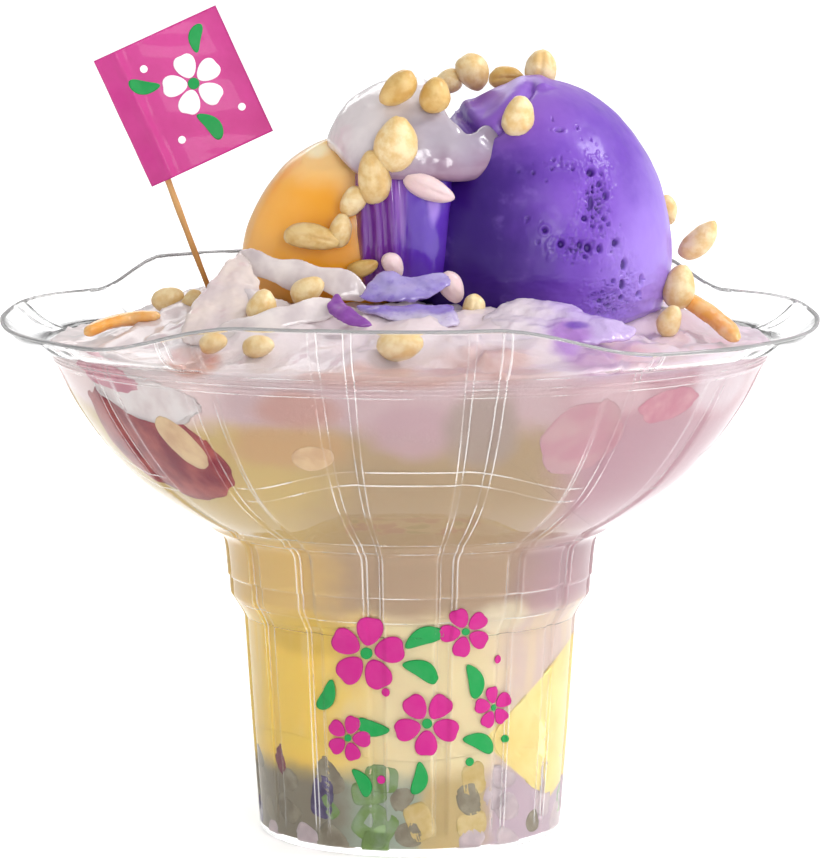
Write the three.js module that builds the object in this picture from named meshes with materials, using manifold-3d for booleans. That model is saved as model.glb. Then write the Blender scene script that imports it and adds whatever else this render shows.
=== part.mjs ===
// Halo halo in a clear flower-shaped cup: soaked fruit, beans, jelly and shaved ice inside, a purple yam
// scoop and other toppings above, and a paper flag on a stick. Millimetres, +Z up, front towards -Y.
// The origin is the middle of the cup's underside.
import * as THREE from "three";
import { mergeVertices } from "three/addons/utils/BufferGeometryUtils.js";
import Module from "manifold-3d";

const wasm = await Module();
wasm.setup();

// Clearances
const gap = 0.35;          // between neighbouring pieces
const wall = 0.8;          // moulded wall of the cup
const sliver = 0.13;       // detail finer than this is dropped after cutting

// Cup: outer line from the foot up to the ring, as radius, height and share of the full rib depth
const cupBody = [
  [30.4, 0, 0],
  [31.9, 1.8, 0],
  [32.4, 8, 0.6],
  [35.0, 45.6, 0.6],
  [37.8, 50.5, 1],
  [39.2, 61.8, 1],
  [42.1, 65.4, 1],
  [49.4, 69.7, 1],
  [57.7, 76, 1],
  [64.2, 83.2, 1],
  [69.9, 91.5, 0.8],
  [74, 99.8, 0],
  [75.5, 101.4, 0],
  [75.5, 103.2, 0],
];
const floorZ = 1.6;        // top of the cup's floor
const ringZ = 102.7;       // height of the moulded ring
const lipFoot = [76.2, 103.7];
const lipSag = 1.3;        // how far the lip bellies below a straight slope
const beadSize = 0.7;      // rolled edge of the lip

// Stiffening ribs: channels pressed into the wall, four to each petal, evenly spaced
const petalCount = 4;
const ribOffsets = [-11.25, 11.25, 33.75, 56.25];
const ribFlank = 3.2;
const ribDepth = 0.8;
const betweenRibs = [0, 45];

// Petals of the lip, by the angle from the nearest side (0) to the front or back (90)
const sidePetal = { radius: 85.4, rise: 6.2 };
const frontPetal = { radius: 79.8, rise: 11, from: 48, to: 72, sideRise: -1.1, turn: 6 };
const backPetal = { radius: 79.8, rise: 14, from: 33, to: 46, sideRise: 1.1, turn: 0 };

// Ice mound above the ring
const mound = { top: 112.6, edge: 104.4, from: 44, to: 72, bump: 0.9, dip: { x: 44, y: -20, reach: 14, depth: 4.5 } };
const fillSegments = 28;
const chordSag = 0.0105;   // share of the radius that the facets of wall and filling may take

const degree = Math.PI / 180;

function smooth(from, to, value) {
  const t = Math.min(1, Math.max(0, (value - from) / (to - from)));
  return t * t * (3 - 2 * t);
}

function mix(a, b, t) {
  return a + (b - a) * t;
}

function at(radius, angle, z) {
  return new THREE.Vector3(radius * Math.cos(angle), radius * Math.sin(angle), z);
}

// Repeatable draws for the pieces that lie at random
function makeRandom(seed) {
  let state = seed;
  return () => {
    state = (state * 1103515245 + 12345) % 2147483648;
    return state / 2147483648;
  };
}

// A closed skin from rows of points that run round an axis, shut by one point at each end
function skin(first, rows, last) {
  const count = rows[0].length;
  const points = [first, ...rows.flat(), last];
  const end = points.length - 1;
  const faces = [];
  for (let column = 0; column < count; column++) {
    const next = (column + 1) % count;
    faces.push(0, 1 + next, 1 + column);
    for (let row = 0; row + 1 < rows.length; row++) {
      const low = 1 + row * count;
      const high = low + count;
      faces.push(low + column, low + next, high + next);
      faces.push(low + column, high + next, high + column);
    }
    const top = 1 + (rows.length - 1) * count;
    faces.push(top + column, top + next, end);
  }
  const geometry = new THREE.BufferGeometry();
  geometry.setAttribute("position", new THREE.Float32BufferAttribute(points.flatMap((p) => p.toArray()), 3));
  geometry.setIndex(faces);
  return geometry;
}

function signedVolume(geometry) {
  const place = geometry.getAttribute("position");
  const index = geometry.getIndex();
  const corner = [new THREE.Vector3(), new THREE.Vector3(), new THREE.Vector3()];
  let sum = 0;
  for (let i = 0; i < index.count; i += 3) {
    corner.forEach((v, k) => v.fromBufferAttribute(place, index.getX(i + k)));
    sum += corner[0].dot(corner[1].cross(corner[2]));
  }
  return sum / 6;
}

function faceOutward(geometry) {
  if (signedVolume(geometry) >= 0) {
    return geometry;
  }
  const index = geometry.getIndex();
  for (let i = 0; i < index.count; i += 3) {
    const b = index.getX(i + 1);
    index.setX(i + 1, index.getX(i + 2));
    index.setX(i + 2, b);
  }
  return geometry;
}

function toSolid(source) {
  const bare = source.clone();
  bare.deleteAttribute("normal");
  bare.deleteAttribute("uv");
  const geometry = faceOutward(mergeVertices(bare, 1e-5));
  const vertProperties = new Float32Array(geometry.getAttribute("position").array);
  const triVerts = new Uint32Array(geometry.getIndex().array);
  return new wasm.Manifold(new wasm.Mesh({ numProp: 3, vertProperties, triVerts }));
}

function toGeometry(solid) {
  const mesh = solid.getMesh();
  const geometry = new THREE.BufferGeometry();
  geometry.setAttribute("position", new THREE.BufferAttribute(new Float32Array(mesh.vertProperties), 3));
  geometry.setIndex(new THREE.BufferAttribute(new Uint32Array(mesh.triVerts), 1));
  return geometry;
}

function largestPart(solid) {
  const parts = solid.decompose();
  return parts.reduce((best, part) => (part.volume() > best.volume() ? part : best));
}

// Drops scraps and slivers that cutting leaves
function cleaned(solid) {
  const plain = largestPart(solid.simplify(sliver));
  return largestPart(toSolid(toGeometry(plain)));
}

// Cup

function ribAngles() {
  const angles = [];
  for (let petal = 0; petal < petalCount; petal++) {
    const middle = petal * 360 / petalCount;
    for (const offset of ribOffsets) {
      for (const step of [-ribFlank, 0, ribFlank]) {
        angles.push({ angle: middle + offset + step, sunk: step === 0 ? 1 : 0 });
      }
    }
    for (const offset of betweenRibs) {
      angles.push({ angle: middle + offset, sunk: 0 });
    }
  }
  const wrapped = angles.map(({ angle, sunk }) => ({ angle: (angle + 360) % 360, sunk }));
  return wrapped.sort((a, b) => a.angle - b.angle);
}

function lipEdge(angle) {
  const back = Math.sin(angle * degree) > 0;
  const petal = back ? backPetal : frontPetal;
  const turned = (angle + petal.turn) * degree;
  const fromSide = Math.acos(Math.abs(Math.cos(turned))) / degree;
  const plainSide = Math.acos(Math.abs(Math.cos(angle * degree))) / degree;
  const lift = smooth(petal.from, petal.to, back ? plainSide : fromSide);
  const sideRise = sidePetal.rise + petal.sideRise * smooth(0, 18, plainSide);
  return {
    radius: mix(sidePetal.radius, petal.radius, smooth(petal.from - 12, petal.to, plainSide)),
    z: ringZ + mix(sideRise, petal.rise, lift),
  };
}

function cupLine({ angle, sunk }) {
  const line = cupBody.map(([radius, z, share]) => [radius - ribDepth * share * sunk, z]);
  const edge = lipEdge(angle);
  const [footRadius, footZ] = lipFoot;
  const slope = new THREE.Vector2(edge.radius - footRadius, edge.z - footZ);
  const belly = new THREE.Vector2(slope.y, -slope.x).normalize().multiplyScalar(lipSag);
  line.push([footRadius, footZ]);
  line.push([footRadius + slope.x * 0.5 + belly.x - ribDepth * 0.5 * sunk, footZ + slope.y * 0.5 + belly.y]);
  line.push([edge.radius, edge.z - 0.4]);
  line.push([edge.radius + beadSize, edge.z]);
  return line;
}

// The same line moved to the inner face of the wall
function innerLine(line) {
  const first = 2;
  return line.slice(first, -1).map(([radius, z], i) => {
    const before = line[first + i - 1];
    const after = line[Math.min(first + i + 1, line.length - 2)];
    const along = new THREE.Vector2(after[0] - before[0], after[1] - before[1]).normalize();
    return [radius - along.y * wall, z + along.x * wall];
  });
}

function makeCup() {
  const columns = ribAngles();
  const outer = columns.map(cupLine);
  const inner = outer.map(innerLine);
  const place = (lines, row) => lines.map((line, i) => at(line[row][0], columns[i].angle * degree, line[row][1]));
  const rows = outer[0].map((_, row) => place(outer, row));
  for (let row = inner[0].length - 1; row >= 0; row--) {
    rows.push(place(inner, row));
  }
  const floorEdge = cupBody[1][0] - wall;
  rows.push(columns.map(({ angle }) => at(floorEdge, angle * degree, floorZ + 1)));
  rows.push(columns.map(({ angle }) => at(floorEdge - 1, angle * degree, floorZ)));
  return skin(new THREE.Vector3(0, 0, 0), rows, new THREE.Vector3(0, 0, floorZ));
}

// Everything that fills the cup, up to the uneven top of the ice

function fillRadius(z) {
  const last = cupBody.length - 1;
  const above = Math.min(last, Math.max(1, cupBody.findIndex(([, height]) => height >= z)));
  const [lowRadius, lowZ, lowShare] = cupBody[above - 1];
  const [highRadius, highZ, highShare] = cupBody[above];
  const t = (z - lowZ) / (highZ - lowZ);
  const slant = Math.hypot(highRadius - lowRadius, highZ - lowZ) / (highZ - lowZ);
  const radius = mix(lowRadius, highRadius, t);
  return radius - ribDepth * mix(lowShare, highShare, t) - (wall + gap) * slant - radius * chordSag;
}

function moundHeight(x, y) {
  const radius = Math.hypot(x, y);
  const wave = Math.sin(x * 0.21 + 1.3) * Math.cos(y * 0.24 - 0.4) + 0.6 * Math.sin(x * 0.47 - y * 0.39);
  const calm = 1 - smooth(mound.to - 8, mound.to, radius);
  const { dip } = mound;
  const sunk = dip.depth * Math.exp(-(((x - dip.x) / dip.reach) ** 2) - ((y - dip.y) / dip.reach) ** 2);
  return mix(mound.top, mound.edge, smooth(mound.from, mound.to, radius)) + mound.bump * wave * calm - sunk;
}

function ring(radius, height, count = fillSegments) {
  return Array.from({ length: count }, (_, i) => {
    const angle = i / count * 2 * Math.PI;
    return at(radius, angle, height(radius * Math.cos(angle), radius * Math.sin(angle)));
  });
}

function makeFill() {
  const foot = floorZ + gap;
  const levels = [8, 45, 50.5, 61.3, 64.8, 68.8, 75, 82.5, 91, 99, 102];
  const rows = [ring(fillRadius(foot + 1.4) - 1.6, () => foot)];
  levels.forEach((z) => rows.push(ring(fillRadius(z), () => z)));
  [71.5, 64, 54, 42, 28, 13].forEach((radius) => rows.push(ring(radius, moundHeight)));
  const top = new THREE.Vector3(0, 0, moundHeight(0, 0));
  return toSolid(skin(new THREE.Vector3(0, 0, foot), rows, top));
}

// A wide block whose top follows a height function, for cutting the fill into layers
function below(height, spread = 90, segments = 10) {
  const rows = [ring(spread, () => -20, segments)];
  [1, 0.5, 0.22].forEach((share) => rows.push(ring(spread * share, height, segments)));
  return toSolid(skin(new THREE.Vector3(0, 0, -20), rows, new THREE.Vector3(0, 0, height(0, 0))));
}

// Round pieces: a stretched ball, turned and pushed into shape, that can be made a little larger

function ball({ place, size, turn = [0, 0, 0], around = 7, along = 4, shape = () => {} }) {
  return (grow) => {
    const geometry = new THREE.SphereGeometry(1, around, along);
    geometry.rotateX(Math.PI / 2);
    const points = geometry.getAttribute("position");
    const point = new THREE.Vector3();
    for (let i = 0; i < points.count; i++) {
      point.fromBufferAttribute(points, i);
      shape(point);
      point.multiply(new THREE.Vector3(...size.map((value) => value + grow)));
      points.setXYZ(i, point.x, point.y, point.z);
    }
    geometry.rotateX(turn[0] * degree);
    geometry.rotateY(turn[1] * degree);
    geometry.rotateZ(turn[2] * degree);
    geometry.translate(...place);
    return toSolid(geometry);
  };
}

// Strips: a flat rounded section carried along a curve

function strip({ path, width, thick, steps = 5, tilt = [0, 0, 1], wave = 0 }) {
  return (grow) => {
    const curve = new THREE.CatmullRomCurve3(path.map((p) => new THREE.Vector3(...p)));
    const sideCount = 6;
    const rows = [];
    for (let step = 0; step <= steps; step++) {
      const t = step / steps;
      const middle = curve.getPointAt(t);
      const along = curve.getTangentAt(t);
      const across = new THREE.Vector3(...tilt).cross(along).normalize();
      const up = along.clone().cross(across);
      const taper = 0.45 + 0.55 * Math.sqrt(Math.max(0, 1 - Math.pow(2 * t - 1, 4)));
      const half = width / 2 * taper * (1 + wave * Math.sin(t * 17)) + grow;
      const deep = thick / 2 + grow;
      rows.push(Array.from({ length: sideCount }, (_, i) => {
        const angle = i / sideCount * 2 * Math.PI;
        return middle.clone().addScaledVector(across, half * Math.cos(angle)).addScaledVector(up, deep * Math.sin(angle));
      }));
    }
    const reach = thick * 0.35 + grow;
    const first = curve.getPointAt(0).addScaledVector(curve.getTangentAt(0), -reach);
    const last = curve.getPointAt(1).addScaledVector(curve.getTangentAt(1), reach);
    return toSolid(skin(first, rows, last));
  };
}

// Sheets: a closed outline on a bent surface, thick in the middle and thin at the rim

const rimAllowance = 1.4;  // a sheet's gap is wider, because its thin rim bends

function sheet({ outline, onto, thick, rim = 12, rings = 1 }) {
  return (gapAround) => {
    const grow = gapAround * rimAllowance;
    const curve = new THREE.CatmullRomCurve3(outline.map(([a, b]) => new THREE.Vector3(a, b, 0)), true);
    const edge = curve.getSpacedPoints(rim).slice(0, rim);
    const middle = edge.reduce((sum, p) => sum.add(p), new THREE.Vector3()).divideScalar(rim);
    const normalAt = (p) => {
      const step = 0.01;
      const here = onto(p.x, p.y);
      const along = onto(p.x + step, p.y).sub(here);
      const across = onto(p.x, p.y + step).sub(here);
      return along.cross(across).normalize();
    };
    const layer = (share, side) => edge.map((p) => {
      const flat = middle.clone().lerp(p, share);
      const lift = (thick / 2 + grow) * Math.sqrt(Math.max(0, 1 - Math.pow(share, 6)));
      return onto(flat.x, flat.y).addScaledVector(normalAt(flat), side * lift);
    });
    const shares = Array.from({ length: rings }, (_, i) => (i + 1) / (rings + 0.12));
    const outside = edge.map((p) => {
      const here = onto(p.x, p.y);
      const inward = middle.clone().lerp(p, 0.97);
      const away = here.clone().sub(onto(inward.x, inward.y)).normalize();
      return here.addScaledVector(away, grow);
    });
    const rows = [...shares.map((share) => layer(share, 1)), outside];
    [...shares].reverse().forEach((share) => rows.push(layer(share, -1)));
    const centre = onto(middle.x, middle.y);
    const lift = normalAt(middle).multiplyScalar(thick / 2 + grow);
    return toSolid(skin(centre.clone().add(lift), rows, centre.clone().sub(lift)));
  };
}

function joined(...parts) {
  return (grow) => parts.map((part) => part(grow)).reduce((solid, part) => solid.add(part));
}

// A surface seen from the front, leaning back by a slope and bulging towards the front
function leaning({ y, z, slope, bulge = 0, x = 0, half = 20 }) {
  return (a, b) => {
    const u = (a - x) / half;
    return new THREE.Vector3(a, y + (b - z) * slope - bulge * (1 - u * u), b);
  };
}

// Flag on its stick

const stick = { radius: 0.75, tip: [-37.2, -5, 103], top: [-57.5, -5, 158.5] };
const flag = { wide: 27.5, high: 28.5, thick: 0.6, lean: -24.5, centre: [-46.8, -5, 154.7], curl: 1.6 };

function rod(radius, tipRadius) {
  const low = new THREE.Vector3(...stick.tip);
  const high = new THREE.Vector3(...stick.top);
  const way = high.clone().sub(low);
  const geometry = new THREE.CylinderGeometry(radius, tipRadius, way.length(), 8, 1);
  geometry.applyQuaternion(new THREE.Quaternion().setFromUnitVectors(new THREE.Vector3(0, 1, 0), way.clone().normalize()));
  geometry.translate(...low.clone().addScaledVector(way, 0.5).toArray());
  return toSolid(geometry);
}

function makeStick(grow) {
  return rod(stick.radius + grow, stick.radius * 0.7 + grow);
}

function makeFlag(grow) {
  const geometry = new THREE.BoxGeometry(flag.wide, flag.thick + 2 * grow, flag.high, 8, 1, 1);
  const points = geometry.getAttribute("position");
  for (let i = 0; i < points.count; i++) {
    const share = points.getX(i) / flag.wide;
    points.setY(i, points.getY(i) + flag.curl * Math.sin((share - 0.1) * 4));
  }
  geometry.rotateY(-flag.lean * degree);
  geometry.translate(...flag.centre);
  const sleeve = rod(stick.radius + 2 * gap + grow, stick.radius + 2 * gap + grow);
  const cloth = toSolid(geometry);
  const span = new THREE.BoxGeometry(flag.wide, 8, flag.high);
  span.rotateY(-flag.lean * degree);
  span.translate(...flag.centre);
  return cloth.add(sleeve.intersect(toSolid(span)));
}

// Toppings

const scoop = { x: 26, y: -3, z: 120, wide: 28.4, deep: 27, high: 38.2, under: 14, foot: 0.45 };

// Rounded under the widest line, with shallow uneven swells
function scoopShape(point) {
  const swell = 1 + 0.012 * Math.sin(point.x * 7 + point.z * 5) * Math.cos(point.y * 6);
  point.multiplyScalar(swell);
  if (point.z < 0) {
    const spread = Math.max(Math.hypot(point.x, point.y), 0.05) ** (scoop.foot - 1);
    point.set(point.x * spread, point.y * spread, point.z * scoop.under / scoop.high);
  }
}

const flan = { place: [-13, -7, 121], size: [22, 14, 26], under: 11 };

const flanShape = (point) => {
  point.y = Math.sign(point.y) * Math.pow(Math.abs(point.y), 0.7);
  point.x += 0.1 * point.z;
  if (point.z < 0) {
    point.z *= flan.under / flan.size[2];
  }
};

const yamShape = (point) => {
  const fold = 1 + 0.05 * Math.sin(Math.atan2(point.y, point.x) * 5);
  const square = Math.pow(Math.max(Math.abs(point.x), Math.abs(point.y), Math.abs(point.z), 1e-6), -0.35);
  point.multiplyScalar(square);
  point.x *= fold;
  point.y *= fold;
};

// Gelled coconut draped over the top: across and over, in degrees, on a dome
const drape = { x: 0, y: -8, z: 137, left: 17.5, right: 25, deep: 17.5, high: 19.5 };
const drapeOutline = [
  [-60, 40], [-38, 10], [-10, 5], [12, 4], [26, 12], [30, 26], [26, 38], [19, 46],
  [13, 70], [9, 100], [0, 126], [-26, 136], [-50, 120], [-68, 84],
];
const drapeTongue = [[10, 6], [30, 5], [42, 14], [48, 30], [46, 46], [37, 50], [30, 39], [18, 32], [8, 24]];

function ontoDrape(across, over) {
  const u = across * degree;
  const v = over * degree;
  const wide = across > 0 ? drape.right : drape.left;
  const x = drape.x + wide * Math.sin(u);
  const y = drape.y - drape.deep * Math.cos(u) * Math.cos(v);
  return new THREE.Vector3(x, y, drape.z + drape.high * Math.cos(u) * Math.sin(v));
}

// Roasted kernels: place, length, width, and how far the long axis leans to the right and to the front
const kernels = [
  { place: [-2.6, -22.5, 157.1], length: 9, width: 6, lean: 48 },
  { place: [5, -22.9, 155.8], length: 7.4, width: 6.4, lean: 12 },
  { place: [-2.6, -25.6, 146], length: 11.4, width: 9.2, lean: 8 },
  { place: [-7.6, -25.2, 139.3], length: 11.2, width: 7, lean: -16 },
  { place: [3.8, -26.6, 137], length: 11, width: 5, lean: 112 },
  { place: [21.9, -20.6, 151.4], length: 8.6, width: 6.6, lean: 14 },
  { place: [13, 0, 159.4], length: 8, width: 6.8, lean: -24 },
  { place: [8.2, 2, 157.4], length: 6.6, width: 5.4, lean: 70 },
  { place: [20.2, 6, 157.6], length: 7.4, width: 5, lean: 88 },
  { place: [27.4, 2, 160.2], length: 8, width: 6.8, lean: 6 },
  { place: [54, 5, 130.4], length: 6.4, width: 5, lean: -14 },
  { place: [60.4, 2, 124.4], length: 10.4, width: 5.6, lean: 44 },
  { place: [55.8, -10, 115.6], length: 9.6, width: 6.8, lean: 8 },
  { place: [53.4, -20, 109.4], length: 7, width: 5, lean: 20 },
  { place: [-20, -24.6, 126.6], length: 11.8, width: 5.6, lean: 98 },
  { place: [-11.4, -24, 134.4], length: 7.4, width: 5, lean: 32 },
  { place: [-14.4, -24.4, 128.4], length: 7.4, width: 4.8, lean: 16 },
  { place: [-9.6, -25.4, 121], length: 6.6, width: 3.6, lean: 74 },
  { place: [-20.4, -37.5, 117.4], length: 7.4, width: 5.4, lean: 58 },
  { place: [-29.6, -40.5, 114.6], length: 7, width: 6, lean: 24 },
  { place: [-50, -10, 113], length: 7, width: 5, lean: 74 },
  { place: [-44.4, -14, 112.6], length: 6, width: 4.6, lean: 12 },
  { place: [-1.9, -63.5, 109.2], length: 9.2, width: 5.8, lean: 84 },
  { place: [-29.6, -58, 108.2], length: 6.4, width: 4.4, lean: 80 },
  { place: [-38.6, -54.5, 108.2], length: 6, width: 4, lean: 72 },
  { place: [-3.5, -28, 121.6], length: 5.6, width: 4.2, lean: -30 },
  { place: [8.5, -32, 117.6], length: 6.8, width: 5, lean: -24 },
  { place: [12.6, -36, 113.8], length: 5.6, width: 4.6, lean: 20 },
];
const backKernels = { count: 2, seed: 23, length: 8.4, width: 6 };

function kernel({ place, length, width, lean }) {
  const size = [width / 2, width * 0.44, length / 2];
  const egg = (point) => {
    const taper = 1 + 0.14 * point.z;
    point.x *= taper;
    point.y *= taper;
  };
  return ball({ place, size, turn: [12, lean, 0], shape: egg });
}

// A few more kernels on the side of the scoop and the ice that faces away
function kernelsBehind() {
  const random = makeRandom(backKernels.seed);
  return Array.from({ length: backKernels.count }, (_, i) => {
    const spread = (i + 0.5) / backKernels.count;
    const onScoop = i % 2 === 0;
    const angle = mix(35, 150, spread) * degree;
    const rise = mix(20, 55, random()) * degree;
    const radius = mix(36, 50, random());
    const x = onScoop ? scoop.x + scoop.wide * Math.cos(angle) * Math.cos(rise) : radius * Math.cos(angle);
    const y = onScoop ? scoop.y + scoop.deep * Math.sin(angle) * Math.cos(rise) : radius * Math.sin(angle);
    const z = onScoop ? scoop.z + scoop.high * Math.sin(rise) : moundHeight(x, y) + 1.5;
    return { place: [x, y, z], length: backKernels.length, width: backKernels.width, lean: mix(20, 140, random()) };
  });
}

// Fruit, coconut and flakes that lie on the ice
const shreds = {
  coconut_ribbon_1: {
    path: [[-35.5, -22, 122.6], [-29, -27, 121.2], [-22, -29.5, 119.6], [-15, -30.5, 118.6], [-8.6, -31, 115.6]],
    width: 5.6, thick: 2.2, tilt: [0, -1, 0.25], wave: 0.16,
  },
  coconut_ribbon_2: {
    path: [[-39, -44, 108.8], [-30, -46, 111.4], [-22, -45, 113.4], [-14, -42, 115]],
    width: 5, thick: 2, tilt: [0, -1, 0.5], wave: 0.1,
  },
  coconut_ribbon_3: {
    path: [[-34, -29, 118.4], [-31, -35, 116], [-27.6, -38, 114.4], [-23.6, -40, 112.6]],
    width: 4.6, thick: 1.8, tilt: [0.5, -1, 0.6], wave: 0.12,
  },
  coconut_ribbon_4: {
    path: [[-24, 30, 113.2], [-12, 37, 115], [0, 36, 114.6], [10, 40, 113]],
    width: 6.4, thick: 2, tilt: [0.2, 0.6, 1], wave: 0.16,
  },
  jackfruit_strip_right: {
    path: [[53, 2, 113.4], [58.5, -8, 112.2], [63.5, -18, 109], [66.4, -26, 106.4]],
    width: 4.4, thick: 2.8, tilt: [-0.4, 0, 1],
  },
  jackfruit_strip_left: {
    path: [[-66, -23, 107.4], [-62, -20, 109], [-57, -18, 109.8], [-51.4, -20, 110.6]],
    width: 4.4, thick: 2.8, tilt: [0, 0.3, 1],
  },
  jackfruit_strip_back: {
    path: [[32, 33, 113.4], [40, 30, 112.6], [48, 24, 110.8], [54, 17, 110]],
    width: 5, thick: 2.6, tilt: [0.2, 0.3, 1],
  },
};

const flakes = {
  coconut_shard: {
    outline: [[-34.6, 123.4], [-40, 119], [-45.6, 110.6], [-44, 107.6], [-36, 107.4], [-31, 112], [-30.6, 119]],
    onto: leaning({ x: -38, y: -46, z: 106, slope: 1.35, bulge: 2, half: 10 }), thick: 2.6,
  },
  lilac_flake_1: {
    outline: [[-10, 115.8], [-7, 120], [-3.8, 120.8], [0, 119.9], [6.8, 120.7], [8, 118.1], [1, 115.6]],
    onto: leaning({ x: 2, y: -42, z: 112, slope: 1.1, bulge: 2, half: 12 }), thick: 1.8,
  },
  lilac_flake_2: {
    outline: [[-11.2, 114.9], [-2, 115], [7.4, 115.2], [9.7, 113.4], [8.9, 111.5], [3, 111.2], [-6, 113]],
    onto: leaning({ x: 1, y: -52, z: 109, slope: 1.6, bulge: 2, half: 12 }), thick: 1.8,
  },
  purple_flake: {
    outline: [[-14.5, 117.5], [-12.5, 115.4], [-7.4, 111.8], [-12.4, 112], [-16.7, 114.8]],
    onto: leaning({ x: -10, y: -53, z: 110, slope: 1.3, bulge: 1, half: 6 }), thick: 1.8,
  },
  pink_shaving: {
    outline: [[14, 111.6], [20, 115.4], [29, 115.2], [37, 112.8], [45, 110.4], [40, 108.4], [28, 108.6], [18, 108.8]],
    onto: leaning({ x: 29, y: -50, z: 108, slope: 2, bulge: 3, half: 18 }), thick: 2.4,
  },
};

const soft = {
  macapuno_drape: joined(
    sheet({ outline: drapeOutline, onto: ontoDrape, thick: 4.4, rim: 20, rings: 2 }),
    sheet({ outline: drapeTongue, onto: ontoDrape, thick: 3.8, rim: 14, rings: 2 }),
  ),
  ube_scoop: ball({
    place: [scoop.x, scoop.y, scoop.z], size: [scoop.wide, scoop.deep, scoop.high],
    around: 18, along: 10, shape: scoopShape,
  }),
  ube_halaya: ball({ place: [-2, -12, 132.5], size: [9.8, 10.4, 20.5], around: 14, along: 6, shape: yamShape }),
  leche_flan: ball({ place: flan.place, size: flan.size, around: 14, along: 8, shape: flanShape }),
};

// Pieces held in the ice, seen through the cup
const sunken = {
  cream_bean: ball({ place: [-18.6, -60.6, 87.8], size: [4, 3.4, 2.9], turn: [0, -8, 0] }),
  red_bean_mass: ball({ place: [-46.5, -38.5, 86.5], size: [17, 10.5, 8], turn: [0, 38, -14], around: 10, along: 5 }),
  coconut_jelly: ball({ place: [-53.4, -40.6, 96.2], size: [12, 5, 3.6], turn: [0, 8, -48] }),
  pink_jelly_left: ball({ place: [-58, -41, 100.8], size: [9, 5, 2.4], turn: [0, 6, -56] }),
  pink_jelly_middle: ball({ place: [32.6, -57.4, 92.4], size: [9.4, 4.6, 8.6], turn: [24, 0, 28] }),
  pink_jelly_right: ball({ place: [48.6, -47.2, 97], size: [9, 5.4, 4], turn: [0, -6, 44] }),
};

// Yellow jelly wedge against the lower right of the wall
const wedge = { x: 33, y: -8, z: 27, wide: 30, deep: 46, high: 20, lean: -43 };

function makeWedge(grow) {
  const geometry = new THREE.BoxGeometry(wedge.wide + 2 * grow, wedge.deep + 2 * grow, wedge.high + 2 * grow);
  geometry.rotateY(wedge.lean * degree);
  geometry.translate(wedge.x, wedge.y, wedge.z);
  return toSolid(geometry);
}

// Heights where one layer ends and the next begins
const heapTop = (x, y) => 21.5 + 1.6 * Math.sin(x * 0.13 + 2) * Math.cos(y * 0.12) - 0.06 * x;
const goldTop = (x, y) => 51 + 1.2 * Math.sin(y * 0.1 + 1) + 0.05 * x;
const soakedTop = (x, y) => 92 - 28 * smooth(12, 46, x) - 9 * smooth(-36, -62, x) + 1.2 * Math.sin(x * 0.1 + y * 0.05);

// Beans and jelly cubes that stand out of the top of the heap
const heapBits = { count: 8, seed: 7, radius: 26, size: 4.2 };

function makeHeapBits(grow) {
  const random = makeRandom(heapBits.seed);
  return Array.from({ length: heapBits.count }, (_, i) => {
    const angle = (i + 0.4 * random()) / heapBits.count * 2 * Math.PI;
    const radius = heapBits.radius * mix(0.55, 1, random());
    const x = radius * Math.cos(angle);
    const y = radius * Math.sin(angle);
    const long = heapBits.size * mix(1, 1.4, random());
    const turn = [0, mix(-30, 30, random()), mix(0, 180, random())];
    const size = [long, heapBits.size * 0.8, heapBits.size * 0.8];
    return ball({ place: [x, y, heapTop(x, y)], size, turn, around: 6, along: 3 })(grow);
  });
}

// Cutting the pieces against each other

const fill = makeFill();
const lifted = (height) => (x, y) => height(x, y) + gap;

function makeHeap(grow) {
  const bits = makeHeapBits(grow);
  const core = below((x, y) => heapTop(x, y) + grow);
  return bits.reduce((solid, bit) => solid.add(bit), core);
}

// A piece inside the cup ends at the filling's side, but what it pushes aside reaches past it
function inside(make) {
  return (grow) => (grow > 0 ? make(grow) : make(0).intersect(fill));
}

const layers = {
  shaved_ice: () => fill.subtract(below(lifted(soakedTop))),
  soaked_ice: () => fill.intersect(below(soakedTop)).subtract(below(lifted(goldTop))),
  golden_layer: () => fill.intersect(below(goldTop)),
};

const colours = {
  clear_cup: "#eef2f3", pick_stick: "#c9964e", paper_flag: "#de3ca0", kernel: "#e3c48a",
  coconut: "#efe8e4", jackfruit: "#f0b45c", lilac: "#b39ad8", purple_flake: "#7f3aa0", pink_shaving: "#e6d2dc",
  macapuno_drape: "#cdc4cf", ube_scoop: "#7349bd", ube_halaya: "#5b2ca0", leche_flan: "#f3b440",
  cream_bean: "#dcc6a8", red_bean_mass: "#a0525f", coconut_jelly: "#e6dcda", pink_jelly_left: "#cc8fa0",
  pink_jelly_middle: "#c99ba3", pink_jelly_right: "#d08fa0", yellow_jelly: "#f8dc84", bean_heap: "#7d6a66",
  shaved_ice: "#d5bcc0", soaked_ice: "#c0a37e", golden_layer: "#e0c488",
};

function colourOf(name) {
  const key = Object.keys(colours).find((word) => name.startsWith(word));
  return colours[key];
}

function material(name) {
  const clear = name === "clear_cup";
  return new THREE.MeshStandardMaterial({
    color: colourOf(name), roughness: clear ? 0.05 : 0.45, metalness: 0,
    transparent: clear, opacity: clear ? 0.3 : 1,
  });
}

// Pieces in the order in which they push each other aside, the first keeping its whole form
const allKernels = [...kernels, ...kernelsBehind()];
const pieces = [
  ["pick_stick", makeStick],
  ["paper_flag", makeFlag],
  ...allKernels.map((one, i) => [`kernel_${i + 1}`, kernel(one)]),
  ...Object.entries(shreds).map(([name, one]) => [name, strip(one)]),
  ...Object.entries(flakes).map(([name, one]) => [name, sheet(one)]),
  ...Object.entries(soft),
  ...Object.entries(sunken).map(([name, make]) => [name, inside(make)]),
  ["yellow_jelly", inside(makeWedge)],
  ["bean_heap", inside(makeHeap)],
  ...Object.entries(layers),
];

function overlaps(a, b) {
  return a.min.every((low, axis) => low < b.max[axis]) && a.max.every((high, axis) => high > b.min[axis]);
}

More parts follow.
